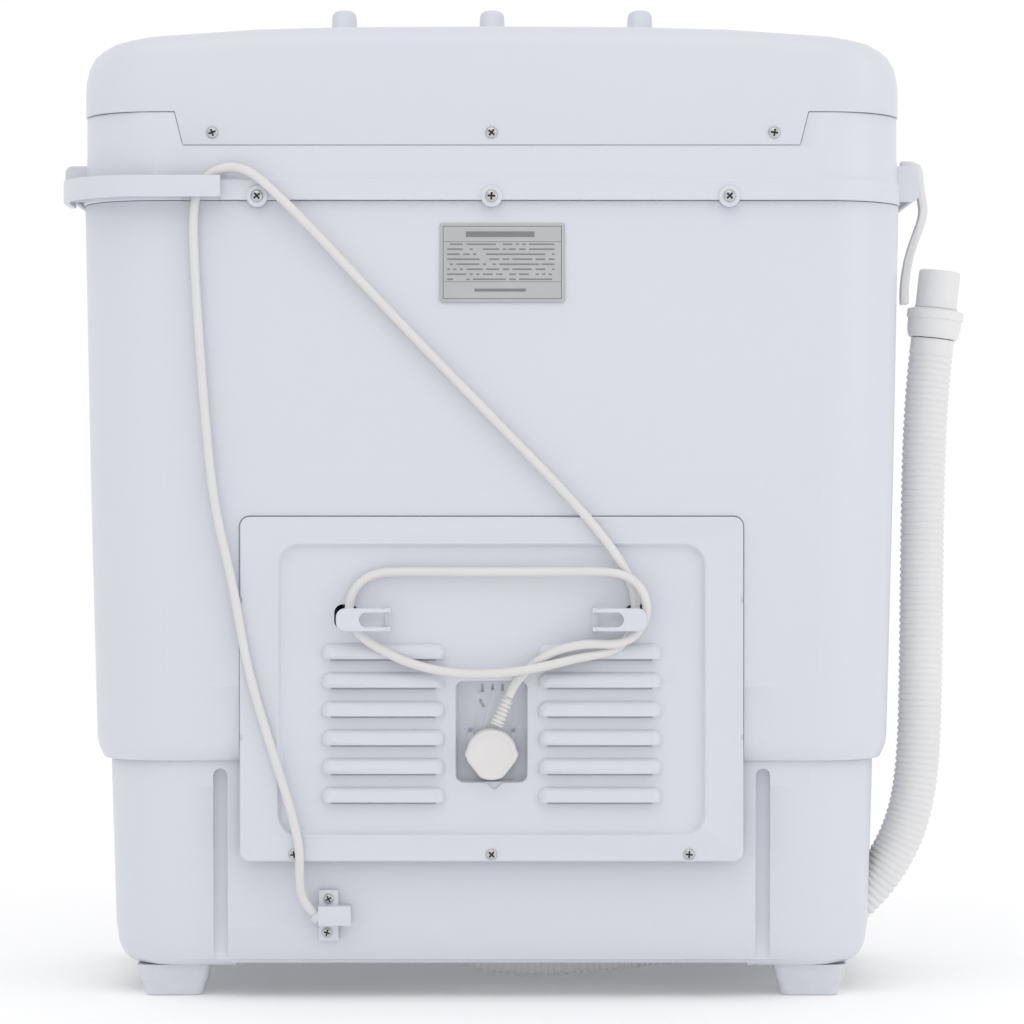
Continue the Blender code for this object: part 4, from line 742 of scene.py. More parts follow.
# ---- Lids ----------------------------------------------------------------------------------------
# Two flat white lids, one over each tub.  Each turns on a steel pin held by two posts at its rear
# corners, and has a shallow field on top and a finger scoop in its front edge.
LID_FRONT_Y = -0.1685
for lid_name, (start, end) in LIDS.items():
    middle = ((start + end) / 2, (LID_AXIS_Y + LID_FRONT_Y) / 2)
    half_x, half_y = (end - start) / 2, (LID_AXIS_Y - LID_FRONT_Y) / 2
    lid = skin(f"{lid_name}_lid_moulding", body_rings([
        (0.6003, half_x, half_y, 0.012), (0.6095, half_x, half_y, 0.012),
        (0.6108, half_x - 0.0004, half_y - 0.0004, 0.0117),
        (0.6118, half_x - 0.0014, half_y - 0.0014, 0.0112),
        (0.6124, half_x - 0.0030, half_y - 0.0030, 0.0105),
        (0.6125, half_x - 0.0045, half_y - 0.0045, 0.0100)], middle, 8))
    field = [(0.6117, half_x - 0.0210, half_y - 0.0260, 0.0180),
             (0.6130, half_x - 0.0195, half_y - 0.0245, 0.0190)]
    shaped(lid, skin("lid_field", body_rings(field, (middle[0], middle[1] - 0.004), 8)))
    room = [(z, half_x - 0.003, half_y - 0.0095, 0.010) for z in (0.59, 0.6090)]
    shaped(lid, skin("lid_room", body_rings(room, middle, 6)))
    shaped(lid, blocks("post_notches", [
        ((start - 0.01, LID_AXIS_Y - 0.0105, 0.59), (start + 0.0090, 0.06, 0.62)),
        ((end - 0.0090, LID_AXIS_Y - 0.0105, 0.59), (end + 0.01, 0.06, 0.62))]))
    shaped(lid, turned_piece("pin_bore", [(0, 0.0), (0.0027, 0.0), (0.0027, end - start), (0, end - start)],
                             Vector((start, LID_AXIS_Y - 0.0004, LID_AXIS_Z)), Vector((1, 0, 0)), 16))
    scoop = [(z, 0.0300, 0.0046, 0.0045) for z in (0.59, 0.6072)]
    shaped(lid, skin("finger_scoop", body_rings(scoop, (middle[0], LID_FRONT_Y), 6)))
    dress(eased(lid, 0.0004), f"{lid_name}_lid", "white_moulding", white_moulding, f"{lid_name}_lid")


# ---- Lid pins and the other bright steel ---------------------------------------------------------
# Plain ground rods: the two hinge pins and the shafts of the knobs, the pulsator and the basket.
# The motor pulley and the brake lever have the same finish.
rod_finish = Finish("bright_steel", Metallic=1.0, Roughness=0.28)
brushed = rod_finish.speckle(220.0, 4.0)
rod_finish.bumped(rod_finish.speckle(900.0, 2.0), 0.12, 0.0001)
bright_steel = rod_finish.looks(Base_Color=rod_finish.mixed(brushed, (0.50, 0.51, 0.53), (0.66, 0.67, 0.69)),
                                Roughness=0.2 + brushed * 0.22)
for steel_node in ("wash_lid_pin", "spin_lid_pin", "wash_timer_shaft", "selector_shaft", "spin_timer_shaft",
                   "pulsator_shaft", "spin_shaft", "motor_pulley", "brake_lever"):
    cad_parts[steel_node].material_slots[0].material = bright_steel


# ---- Control fascia ------------------------------------------------------------------------------
# A grey plate on the slope of the hood.  It carries a printed scale round each knob: minutes round
# the two timers, and three places round the selector.
FASCIA_MIDDLE = Vector((0.0, 0.100, 0.6603))
FASCIA_LEAN = math.atan(FASCIA_SLOPE)
KNOB_PLACES = {"wash_timer": -0.106, "selector": 0.0, "spin_timer": 0.106}


def fascia_frame(x=0.0):
    """Frame on the sloping fascia, with its Z square to the plate."""
    return Matrix.Translation((x, FASCIA_MIDDLE.y, FASCIA_MIDDLE.z)) @ Matrix.Rotation(FASCIA_LEAN, 4, "X")


def moved(piece, place):
    """Carries a piece's mesh to a place."""
    piece.data.transform(place)
    return piece


plate = skin("fascia_plate", body_rings([
    (0.0003, 0.2120, 0.0385, 0.0060), (0.0019, 0.2120, 0.0385, 0.0060), (0.0022, 0.2118, 0.0383, 0.0058),
    (0.0023, 0.2115, 0.0380, 0.0055)], (0.0, 0.0), 6))
for x in KNOB_PLACES.values():
    shaped(plate, skin("shaft_hole", disc_rings((x, 0.0), [(-0.01, 0.0036), (0.01, 0.0036)], 24)))
moved(plate, fascia_frame())

print_finish = Finish("grey_fascia", Roughness=0.42)
across, slant_y, slant_z = print_finish.split()
up = (slant_y - FASCIA_MIDDLE.y) * math.cos(FASCIA_LEAN)
up = up + (slant_z - FASCIA_MIDDLE.z) * math.sin(FASCIA_LEAN)
ink = None
for knob_name, count, span in (("wash_timer", 15, 300.0), ("selector", 3, 120.0), ("spin_timer", 5, 300.0)):
    off = across - KNOB_PLACES[knob_name]
    reach = print_finish.node("ShaderNodeMath", {"operation": "SQRT"}, {0: off * off + up * up})
    around = print_finish.node("ShaderNodeMath", {"operation": "ARCTAN2"}, {0: off * -1.0, 1: up * -1.0})
    degrees = around * (180.0 / math.pi) + 180.0
    scaled = (degrees - (180.0 - span / 2) * (count == 3)) * (count / span)
    beside = print_finish.node("ShaderNodeMath", {"operation": "PINGPONG"}, {0: scaled, 1: 0.5})
    tick = (beside * -1.0).above(-0.035 * count / 5, 0.02)
    band = reach.above(0.0222, 0.0004) * (reach * -1.0).above(-0.0268, 0.0004)
    inside = (degrees * -1.0).above(-span - 4.0, 0.5)
    marks = tick * band * inside
    ink = marks if ink is None else ink + marks
border = (up * -1.0).above(0.0335, 0.0003) * up.above(-0.0347, 0.0003)
ink = (ink + border).clamped()
print_finish.bumped(print_finish.speckle(900.0, 2.0), 0.2, 0.0001)
grain = print_finish.speckle(30.0)
grey_fascia = print_finish.looks(Base_Color=print_finish.mixed(ink, print_finish.mixed(
    grain, (0.30, 0.33, 0.38), (0.34, 0.37, 0.42)), (0.86, 0.88, 0.90)), Roughness=0.36 + grain * 0.12)
dress(plate, "machine", "grey_moulding", grey_fascia, "control_panel")


# ---- Knobs ---------------------------------------------------------------------------------------
# Three white knobs, each a low disc with a tall grip bar across it and a coloured pointer line.
knob_finish = Finish("knob_moulding", Roughness=0.3)
knob_haze = knob_finish.speckle(30.0)
knob_finish.bumped(knob_finish.speckle(1300.0, 2.0), 0.15, 0.0001)
knob_moulding = knob_finish.looks(
    Base_Color=knob_finish.mixed(knob_haze, (0.66, 0.69, 0.76), (0.70, 0.72, 0.78)),
    Roughness=0.27 + knob_haze * 0.1)
pointer_finish = Finish("pointer_paint", Roughness=0.4)
pointer_grain = pointer_finish.speckle(300.0)
pointer_paint = pointer_finish.looks(Base_Color=pointer_finish.mixed(
    pointer_grain, (0.05, 0.12, 0.30), (0.07, 0.15, 0.35)), Roughness=0.35 + pointer_grain * 0.1)
for knob_name, x in KNOB_PLACES.items():
    knob = skin(f"{knob_name}_dial", disc_rings((0.0, 0.0), [
        (0.0026, 0.0188), (0.0028, 0.0194), (0.0034, 0.0195), (0.0082, 0.0184), (0.0092, 0.0178),
        (0.0095, 0.0170)], 72))
    grip = []
    for z, half_x, half_y, radius in ((0.0060, 0.0098, 0.0178, 0.0085), (0.0120, 0.0095, 0.0176, 0.0082),
                                      (0.0220, 0.0091, 0.0172, 0.0078), (0.0355, 0.0088, 0.0168, 0.0075),
                                      (0.0377, 0.0083, 0.0163, 0.0071), (0.0386, 0.0073, 0.0153, 0.0061),
                                      (0.0389, 0.0056, 0.0136, 0.0044)):
        grip.append([(px, py, z) for px, py in rounded_outline(half_x, half_y, radius, 8)])
    joined(knob, skin("grip_bar", grip))
    shaped(knob, skin("shaft_bore", disc_rings((0.0, 0.0), [(-0.01, 0.0033), (0.0200, 0.0033)], 24)))
    moved(eased(knob, 0.0004), fascia_frame(x))
    dress(knob, f"{knob_name}_knob", "white_moulding", knob_moulding, f"{knob_name}_knob")
    outline = rounded_outline(0.0010, 0.0062, 0.0009, 4, (0.0, -0.0075))
    line = skin(f"{knob_name}_pointer_line", [[(px, py, z) for px, py in outline] for z in (0.0380, 0.0391)])
    moved(line, fascia_frame(x))
    dress(line, f"{knob_name}_knob", "white_moulding", pointer_paint)


# ---- Screws --------------------------------------------------------------------------------------
# Cross-head screws with zinc-plated domed heads: three along the hood, three along the rim, three
# along the foot of the service panel and two in the lead clamp.
zinc = Finish("zinc_plate", Metallic=1.0, Roughness=0.3)
zinc_cloud = zinc.speckle(420.0, 4.0)
zinc.bumped(zinc.speckle(1500.0, 2.0), 0.15, 0.00008)
zinc_plate = zinc.looks(Base_Color=zinc.mixed(zinc_cloud, (0.42, 0.42, 0.43), (0.66, 0.66, 0.66)),
                        Roughness=0.2 + zinc_cloud * 0.25)

# The faces of each cross recess are painted near-black: painted shade for the shadow inside the slits of the
# zinc head.
recess = Finish("screw_recess_painted_shade", Metallic=0.8, Roughness=0.5)
recess_grain = recess.speckle(900.0, 3.0)
recess_shade = recess.looks(Base_Color=recess.mixed(recess_grain, (0.035, 0.035, 0.04), (0.09, 0.09, 0.10)),
                            Roughness=0.45 + recess_grain * 0.2)


def screw(name, x, y, z, size, turn, *nodes):
    """A domed head of the given radius facing +Y, with a cross recess whose faces are painted near-black as
    painted shade.
    """
    head = turned_piece(name, [
        (0, 0.0), (size, 0.0), (size, size * 0.13), (size * 0.94, size * 0.24), (size * 0.78, size * 0.37),
        (size * 0.55, size * 0.46), (size * 0.28, size * 0.50), (0, size * 0.505)], Vector((x, y, z)),
                        Vector((0, 1, 0)), 32)
    for spin in (0.0, 90.0):
        corner = Vector((0.62, 0.60, 0.15)) * size
        slit = blocks("slit", [((-corner.x, size * 0.08, -corner.z), tuple(corner))])
        moved(slit, Matrix.Translation((x, y, z)) @ Matrix.Rotation(math.radians(spin + turn), 4, "Y"))
        shaped(head, slit)
    dress(head, "machine", "bright_steel", zinc_plate, *nodes)
    # Faces inside the cross recess take the near-black painted shade.
    head.data.materials.append(recess_shade)
    for polygon in head.data.polygons:
        off = polygon.center - Vector((x, y, z))
        if math.hypot(off.x, off.z) < size * 0.64 and off.y < size * 0.36:
            polygon.material_index = 1


for index, x in enumerate((0.1950, 0.0, -0.1975)):
    screw(f"hood_screw_head_{index + 1}", x, HOOD_BACK, 0.6070, 0.0042, 20.0 + 31.0 * index,
          f"hood_screw_{index + 1}")
for index, x in enumerate((0.1635, 0.0, -0.1660)):
    screw(f"rim_screw_head_{index + 1}", x, 0.1722, 0.5625, 0.0044, 40.0 + 47.0 * index)
for index, x in enumerate((0.1380, 0.0, -0.1380)):
    screw(f"panel_screw_head_{index + 1}", x, 0.1665, 0.1030, 0.0040, 10.0 + 38.0 * index)


# ---- Lead clamp ----------------------------------------------------------------------------------
# A white moulded block at the foot of the back that grips the lead.  Its upright strap takes a
# screw above and a screw below.
clamp = blocks("clamp_block", [((0.0985, 0.1515, 0.0530), (0.1212, 0.1660, 0.0665))])
joined(clamp, blocks("clamp_strap", [((0.1075, 0.1515, 0.0415), (0.1212, 0.1560, 0.0770))]))
shaped(clamp, turned_piece("clamp_way", [(0, 0.0), (0.0038, 0.0), (0.0038, 0.021), (0, 0.021)],
                           Vector((0.1100, 0.1600, 0.0590)), Vector((0.02, 0, 0.001)).normalized(), 24))
outward = (Vector(LEAD_ROUTE[1]) - Vector(LEAD_ROUTE[0])).normalized()
collar = [(0.0036, 0.0), (0.0052, 0.0), (0.0050, 0.0042), (0.0046, 0.0048), (0.0036, 0.0048)]
joined(clamp, turned_piece("clamp_collar", collar, Vector(LEAD_ROUTE[0]) - outward * 0.0032, outward, 32))
dress(eased(clamp, 0.0007), "machine", "white_moulding", white_moulding, "cord_clamp")
for index, (x, z) in enumerate(((0.1144, 0.0709), (0.1154, 0.0472))):
    screw(f"clamp_screw_head_{index + 1}", x, 0.1560, z, 0.0037, 25.0 + 50.0 * index)


# ---- Service panel -------------------------------------------------------------------------------
# The white cover over the drive.  Inside its raised border are two columns of louvre hoods, the two
# hooks that the lead is wound on, and a pocket with the seats for the plug's pins.
HOOK_INNER, HOOK_OUTER = 0.1795, 0.1830


def upright_ring(half_x, half_z, radius, y, middle=(0.0, 0.2180), steps=8):
    """A rounded rectangle standing square to the Y axis."""
    return [(x, y, z) for x, z in rounded_outline(half_x, half_z, radius, steps, middle)]


panel = skin("service_panel_moulding", [upright_ring(half_x, half_z, radius, y, (0.0, 0.2185))
                                        for half_x, half_z, radius, y in (
    (0.1757, 0.1202, 0.0067, 0.1595), (0.1760, 0.1205, 0.0070, 0.1600), (0.1760, 0.1205, 0.0070, 0.1652),
    (0.1758, 0.1203, 0.0068, 0.1659), (0.1754, 0.1199, 0.0064, 0.1663), (0.1748, 0.1193, 0.0058, 0.1665))])
shaped(panel, skin("field", [upright_ring(half_x, half_z, radius, y) for half_x, half_z, radius, y in (
    (0.1462, 0.0987, 0.0117, 0.1625), (0.1468, 0.0993, 0.0123, 0.1626), (0.1474, 0.0999, 0.0129, 0.1630),
    (0.1488, 0.1013, 0.0143, 0.1658), (0.1495, 0.1020, 0.0150, 0.1664), (0.1502, 0.1027, 0.0157, 0.1666),
    (0.1502, 0.1027, 0.0157, 0.18))]))
joined(panel, blocks("pocket_walls", [((-0.0280, 0.1470, 0.1500), (0.0280, 0.1615, 0.2270))]))
shaped(panel, skin("pocket", [upright_ring(half_x, half_z, radius, y, (0.0, 0.1885))
                              for half_x, half_z, radius, y in (
    (0.0236, 0.0341, 0.0040, 0.1502), (0.0240, 0.0345, 0.0044, 0.1505), (0.0247, 0.0352, 0.0051, 0.1612),
    (0.0250, 0.0355, 0.0054, 0.1620), (0.0256, 0.0361, 0.0060, 0.1627), (0.0256, 0.0361, 0.0060, 0.19))]))
bm = bmesh.new()
dent = [(0.0060, 0.1545), (-0.0100, 0.1545), (-0.0035, 0.1486), (-0.0020, 0.1480), (-0.0005, 0.1486)]
pushed_outline(bm, dent, 0.1608, 0.17, "Y")
shaped(panel, smooth_mesh("thumb_dent", bm))
pocket_slots = [((0.0054, 0.1478, 0.2157), (0.0074, 0.152, 0.2213)),
                ((-0.0016, 0.1478, 0.2172), (0.0002, 0.152, 0.2212)),
                ((-0.0086, 0.1478, 0.2165), (-0.0068, 0.152, 0.2213))]
pocket_slots += both_sides([((0.0135, 0.1478, 0.1872), (0.0165, 0.152, 0.1902))])
shaped(panel, blocks("pocket_slots", pocket_slots))
slit = blocks("slit", [((-0.0011, 0.1478, -0.0030), (0.0011, 0.152, 0.0030))])
slit_place = Matrix.Translation((0.0068, 0.0, 0.2078)) @ Matrix.Rotation(math.radians(28), 4, "Y")
shaped(panel, moved(slit, slit_place))
for side in (-1, 1):
    shaped(panel, turned_piece("pin_seat", [(0, 0.0), (0.0030, 0.0), (0.0030, 0.03), (0, 0.03)],
                               Vector((side * 0.0095, 0.13, PLUG_Z)), Vector((0, 1, 0)), 24))

LOUVRE_ROWS, LOUVRE_TOP, LOUVRE_PITCH, LOUVRE_X = 6, 0.2502, 0.02005, 0.07575
hoods, slots = bmesh.new(), bmesh.new()
for row in range(LOUVRE_ROWS):
    top = LOUVRE_TOP - row * LOUVRE_PITCH
    for side in (-1, 1):
        middle = side * LOUVRE_X
        rings = []
        for out in (-0.15, 0.0, 0.3, 0.5, 0.68, 0.82, 0.92, 0.98, 1.0):
            reach = max(out, 0.0)
            fall = 0.0075 * (1 - math.sqrt(1 - min(reach, 0.995) ** 2))
            half, high_z, low_z = 0.04325 - 0.0040 * reach ** 2, top - fall, top - 0.0105
            corner = min(0.0062, (high_z - low_z) * 0.9)
            ring = [(middle - half, low_z), (middle + half, low_z)]
            for step in range(9):
                turn = math.radians(90 * step / 8)
                ring.append((middle + half - corner * (1 - math.cos(turn)),
                             high_z - corner * (1 - math.sin(turn))))
            for step in range(9):
                turn = math.radians(90 + 90 * step / 8)
                ring.append((middle - half + corner * (1 + math.cos(turn)),
                             high_z - corner * (1 - math.sin(turn))))
            rings.append([(x, 0.1625 + 0.0060 * out, z) for x, z in ring])
        stacked_rings(hoods, rings)
        pushed_outline(slots, [(0.15, top - 0.0095), (0.1618, top - 0.0095), (0.1618, top - 0.0120),
                               (0.1667, top - 0.0120), (0.1667, top - 0.0088), (0.1612, top - 0.0030),
                               (0.15, top - 0.0030)], middle - 0.0365, middle + 0.0365, "X")
joined(panel, smooth_mesh("louvre_hoods", hoods, 40.0))
shaped(panel, smooth_mesh("louvre_slots", slots))

mould_holes, tongues, gaps = bmesh.new(), bmesh.new(), bmesh.new()
for side in (-1, 1):
    stacked_rings(mould_holes, [upright_ring(0.0085, 0.0088, 0.0060, y, (side * 0.1016, 0.2688))
                                for y in (0.15, 0.18)])
    tongue_middle = (side * 0.0892, 0.2673)
    stacked_rings(tongues, [upright_ring(0.0188 - ease, 0.0080 - ease, 0.0062 - ease, y, tongue_middle)
                            for y, ease in ((HOOK_INNER, 0.0006), (HOOK_INNER + 0.0006, 0.0),
                                            (HOOK_OUTER - 0.0009, 0.0), (HOOK_OUTER - 0.0003, 0.0004),
                                            (HOOK_OUTER, 0.0012))])
    stacked_rings(gaps, [upright_ring(0.0125, 0.0052, 0.0051, y, (side * 0.0795, 0.2673))
                         for y in (0.1640, 0.20)])
shaped(panel, smooth_mesh("mould_holes", mould_holes))
hook_arms = blocks("hook_arms", both_sides([((0.0704, 0.1615, 0.2593),
                                             (0.0745, HOOK_OUTER - 0.0012, 0.2753))]))
joined(hook_arms, smooth_mesh("hook_tongues", tongues))
shaped(hook_arms, smooth_mesh("hook_gaps", gaps))
joined(panel, hook_arms)
shaped(panel, blocks("snap_notches", both_sides([((0.1742, 0.1640, 0.2790), (0.18, 0.17, 0.2825)),
                                                 ((0.1742, 0.1640, 0.1830), (0.18, 0.17, 0.1865))])))
joined(panel, blocks("panel_tabs", both_sides([((0.098, 0.1530, 0.3250), (0.122, 0.1560, 0.3480)),
                                               ((0.098, 0.1535, 0.3250), (0.122, 0.1610, 0.3280))])))
dress(eased(panel, 0.0003, 2, 40.0, 36.0), "machine", "white_moulding", white_moulding, "service_panel")


# ---- Rating label --------------------------------------------------------------------------------
# A silver foil label high on the back.  It has a thin printed border and ruled rows, with plain
# bars where the words would be.
label = skin("rating_label_foil", [
    upright_ring(0.0435 - ease, 0.0275 - ease, 0.0012, y, (-0.0075, 0.5165), 4)
    for y, ease in ((0.1664, 0.0), (0.1667, 0.0), (0.1668, 0.0002))])
foil = Finish("label_foil", Metallic=0.35, Roughness=0.4)
label_x, _, label_z = foil.split()
from_left, from_top = (0.0360 - label_x) * 1000.0, (0.5440 - label_z) * 1000.0


def line_at(value, place, width):
    """1 within half a width of the place."""
    away = value.finish.node("ShaderNodeMath", {"operation": "ABSOLUTE"}, {0: value - place})
    return (away * -1.0).above(-width / 2, 0.12)


edge_x = line_at(from_left, 2.2, 0.5) + line_at(from_left, 84.8, 0.5)
edge_y = line_at(from_top, 2.2, 0.5) + line_at(from_top, 52.8, 0.5)
inside_x = from_left.above(2.0, 0.1) * (from_left * -1.0).above(-85.0, 0.1)
inside_y = from_top.above(2.0, 0.1) * (from_top * -1.0).above(-53.0, 0.1)
rules = line_at(from_top, 13.0, 0.35) + line_at(from_top, 41.0, 0.35)
rows = foil.node("ShaderNodeMath", {"operation": "PINGPONG"}, {0: from_top - 14.75, 1: 1.75})
row_number = foil.node("ShaderNodeMath", {"operation": "FLOOR"}, {0: (from_top - 13.0) / 3.5})
cell_number = foil.node("ShaderNodeMath", {"operation": "FLOOR"}, {0: from_left / 2.3})
pick = foil.node("ShaderNodeTexWhiteNoise", {"noise_dimensions": "2D"}, {"Vector": foil.node(
    "ShaderNodeCombineXYZ", {}, {0: cell_number, 1: row_number})}, "Value")
words = pick.above(0.30, 0.02) * (rows * -1.0).above(-0.62, 0.2) * from_top.above(14.2, 0.1)
words = words * (from_top * -1.0).above(-40.4, 0.1)
words = words * from_left.above(5.0, 0.1) * (from_left * -1.0).above(-80.0, 0.1)
heading = line_at(from_top, 7.8, 4.0) * from_left.above(18.0, 0.2) * (from_left * -1.0).above(-66.0, 0.2)
footer = line_at(from_top, 46.8, 2.2) * from_left.above(24.0, 0.2) * (from_left * -1.0).above(-60.0, 0.2)
print_amount = ((edge_x * inside_y) + (edge_y * inside_x) + (rules * inside_x)
                + (words * 0.75) + (heading * 0.8) + (footer * 0.8)).clamped()
sheen = foil.speckle(60.0, 4.0)
foil.bumped(foil.speckle(1100.0, 2.0), 0.15, 0.00006)
label_foil = foil.looks(Base_Color=foil.mixed(print_amount, foil.mixed(
    sheen, (0.44, 0.45, 0.46), (0.52, 0.53, 0.54)), (0.16, 0.165, 0.175)), Roughness=0.34 + sheen * 0.2)
dress(label, "machine", "label_foil", label_foil, "rating_label")


# ---- Wash tub ------------------------------------------------------------------------------------
# A rounded rectangular tub in white plastic that hangs under the left lid.  Its floor has a hole
# for the pulsator's shaft and a drain hole behind it.
tub = skin("wash_tub_moulding", body_rings([
    (0.2200, 0.1280, 0.1040, 0.0400), (0.2204, 0.1306, 0.1066, 0.0416), (0.2222, 0.1332, 0.1092, 0.0434),
    (0.2255, 0.1352, 0.1112, 0.0449), (0.2320, 0.1368, 0.1128, 0.0459), (0.2400, 0.1372, 0.1132, 0.0461),
    (0.5965, 0.1405, 0.1170, 0.0500)], WASH_MIDDLE, 12), (True, False))
wall = tub.modifiers.new("wall", "SOLIDIFY")
wall.thickness, wall.offset, wall.use_even_offset = 0.003, 1.0, True
settled(tub)
shaped(tub, skin("shaft_hole", disc_rings(WASH_MIDDLE, [(0.20, 0.0075), (0.23, 0.0075)], 32)))
shaped(tub, skin("drain_hole", disc_rings((-0.0050, 0.0400), [(0.20, 0.0110), (0.23, 0.0110)], 32)))
tub_finish = Finish("tub_moulding", Roughness=0.3)
water_mark = tub_finish.speckle(14.0, 4.0)
tub_finish.bumped(tub_finish.speckle(800.0, 2.0), 0.15, 0.0001)
tub_moulding = tub_finish.looks(
    Base_Color=tub_finish.mixed(water_mark, (0.62, 0.65, 0.70), (0.70, 0.72, 0.75)),
    Roughness=0.24 + water_mark * 0.16)
dress(tub, "machine", "white_moulding", tub_moulding, "wash_tub")


# ---- Overflow cover ------------------------------------------------------------------------------
# A slim upright cover on the tub's side, with slots that let the overflowing water through.
cover = skin("overflow_cover_moulding", [
    [(x, y, z) for y, z in rounded_outline(half_y, half_z, 0.0060, 6, (-0.0200, 0.3850))]
    for x, half_y, half_z in ((0.0100, 0.0285, 0.1335), (0.0106, 0.0297, 0.1347),
                              (0.0120, 0.0300, 0.1350), (0.0200, 0.0300, 0.1350))])
shaped(cover, blocks("cover_slots", [
    ((0.0, -0.0420, 0.2700 + 0.0120 * row), (0.0160, 0.0020, 0.2745 + 0.0120 * row)) for row in range(20)]))
grey_finish = Finish("grey_moulding", Roughness=0.45)
grey_cloud = grey_finish.speckle(24.0)
grey_finish.bumped(grey_finish.speckle(700.0, 2.0), 0.2, 0.0001)
grey_moulding = grey_finish.looks(
    Base_Color=grey_finish.mixed(grey_cloud, (0.31, 0.33, 0.36), (0.38, 0.40, 0.43)),
    Roughness=0.4 + grey_cloud * 0.14)
dress(cover, "machine", "grey_moulding", grey_moulding, "overflow_cover")


# ---- Pulsator ------------------------------------------------------------------------------------
# A low white disc with a domed hub and four tapering vanes, on top of the shaft in the tub floor.
disc = turned_piece("pulsator_moulding", [
    (0, 0.0265), (0.0060, 0.0264), (0.0120, 0.0258), (0.0175, 0.0243), (0.0215, 0.0218), (0.0245, 0.0185),
    (0.0285, 0.0153), (0.0330, 0.0142), (0.0560, 0.0130), (0.0840, 0.0132), (0.0880, 0.0133), (0.0895, 0.0126),
    (0.0900, 0.0112), (0.0900, 0.0070), (0.0063, 0.0070), (0.0063, 0.0200), (0, 0.0200)],
    WASH_MIDDLE + Vector((0, 0, 0.220)), Vector((0, 0, 1)), 72, 40.0)
VANE_EDGES = (((0.018, -0.0052, 0.0125), (0.050, -0.0052 * 1.2, 0.0125), (0.084, -0.0052, 0.0125)),
              ((0.018, -0.0030, 0.0225), (0.050, -0.0032, 0.0225), (0.082, -0.0026, 0.0168)),
              ((0.018, -0.0012, 0.0235), (0.050, -0.0014, 0.0235), (0.0800, -0.0010, 0.0175)))
for quarter in range(4):
    vane = skin("vane", [list(edge) + [(x, -y, z) for x, y, z in reversed(edge)] for edge in VANE_EDGES])
    place = Matrix.Translation(WASH_MIDDLE + Vector((0, 0, 0.220)))
    moved(vane, place @ Matrix.Rotation(math.radians(45 + 90 * quarter), 4, "Z"))
    joined(disc, vane)
for turn in range(20):
    aim = math.radians(18 * turn + 9)
    hole = WASH_MIDDLE + Vector((math.cos(aim), math.sin(aim), 0.0)) * 0.070
    shaped(disc, skin("disc_hole", disc_rings(hole, [(0.222, 0.0026), (0.240, 0.0026)], 16)))
dress(disc, "pulsator", "white_moulding", tub_moulding, "pulsator")


# ---- Spin tub ------------------------------------------------------------------------------------
# The round outer tub of the spin side, in the same white plastic, open at the top.
spin_tub = turned_piece("spin_tub_moulding", [
    (0.1030, 0.5965), (0.1002, 0.2440), (0.0990, 0.2375), (0.0960, 0.2342), (0.0930, 0.2330), (0.0222, 0.2330),
    (0.0222, 0.2360), (0.0915, 0.2360), (0.0945, 0.2372), (0.0962, 0.2395), (0.0970, 0.2440),
    (0.1000, 0.5965)], SPIN_MIDDLE, Vector((0, 0, 1)), 80)
dress(spin_tub, "machine", "white_moulding", tub_moulding, "spin_tub")


# ---- Spin basket ---------------------------------------------------------------------------------
# A pressed stainless steel basket with rows of drain holes in its wall and a cone round its shaft.
BASKET_INNER, BASKET_OUTER, WALL_LOW, WALL_TOP = 0.0905, 0.0930, 0.2715, 0.5375
basket = turned_piece("basket_floor", [
    (BASKET_OUTER, WALL_LOW), (BASKET_OUTER, 0.2680),
    (0.0925, 0.2645), (0.0905, 0.2615), (0.0880, 0.2600), (0.0180, 0.2600),
    (0.0160, 0.2560), (0.0063, 0.2560), (0.0063, 0.3050), (0.0100, 0.3050), (0.0110, 0.3040), (0.0135, 0.2800),
    (0.0165, 0.2680), (0.0215, 0.2640), (0.0860, 0.2630), (0.0885, 0.2636), (0.0900, 0.2655), (0.0905, 0.2680),
    (BASKET_INNER, WALL_LOW)], SPIN_MIDDLE, Vector((0, 0, 1)), 84)
rim = turned_piece("basket_rim", [
    (BASKET_INNER, WALL_TOP), (BASKET_INNER, 0.5395),
    (0.0895, 0.5412), (0.0870, 0.5425), (0.0860, 0.5440), (0.0860, 0.5480),
    (0.0868, 0.5496), (0.0885, 0.5500), (0.0912, 0.5500), (0.0926, 0.5492), (0.0930, 0.5475),
    (BASKET_OUTER, WALL_TOP)], SPIN_MIDDLE, Vector((0, 0, 1)), 84)
COLUMNS, ROWS, HOLE = 42, 15, 0.0024
bm = bmesh.new()
bm.from_mesh(basket.data)
bm.from_mesh(rim.data)
height, wide = (WALL_TOP - WALL_LOW) / ROWS, 2 * math.pi / COLUMNS
square = [(-0.5, 0.0), (-0.5, -0.5), (0.0, -0.5), (0.5, -0.5), (0.5, 0.0), (0.5, 0.5), (0.0, 0.5), (-0.5, 0.5)]
rounds = [(math.cos(math.radians(180 + 45 * step)), math.sin(math.radians(180 + 45 * step)))
          for step in range(8)]
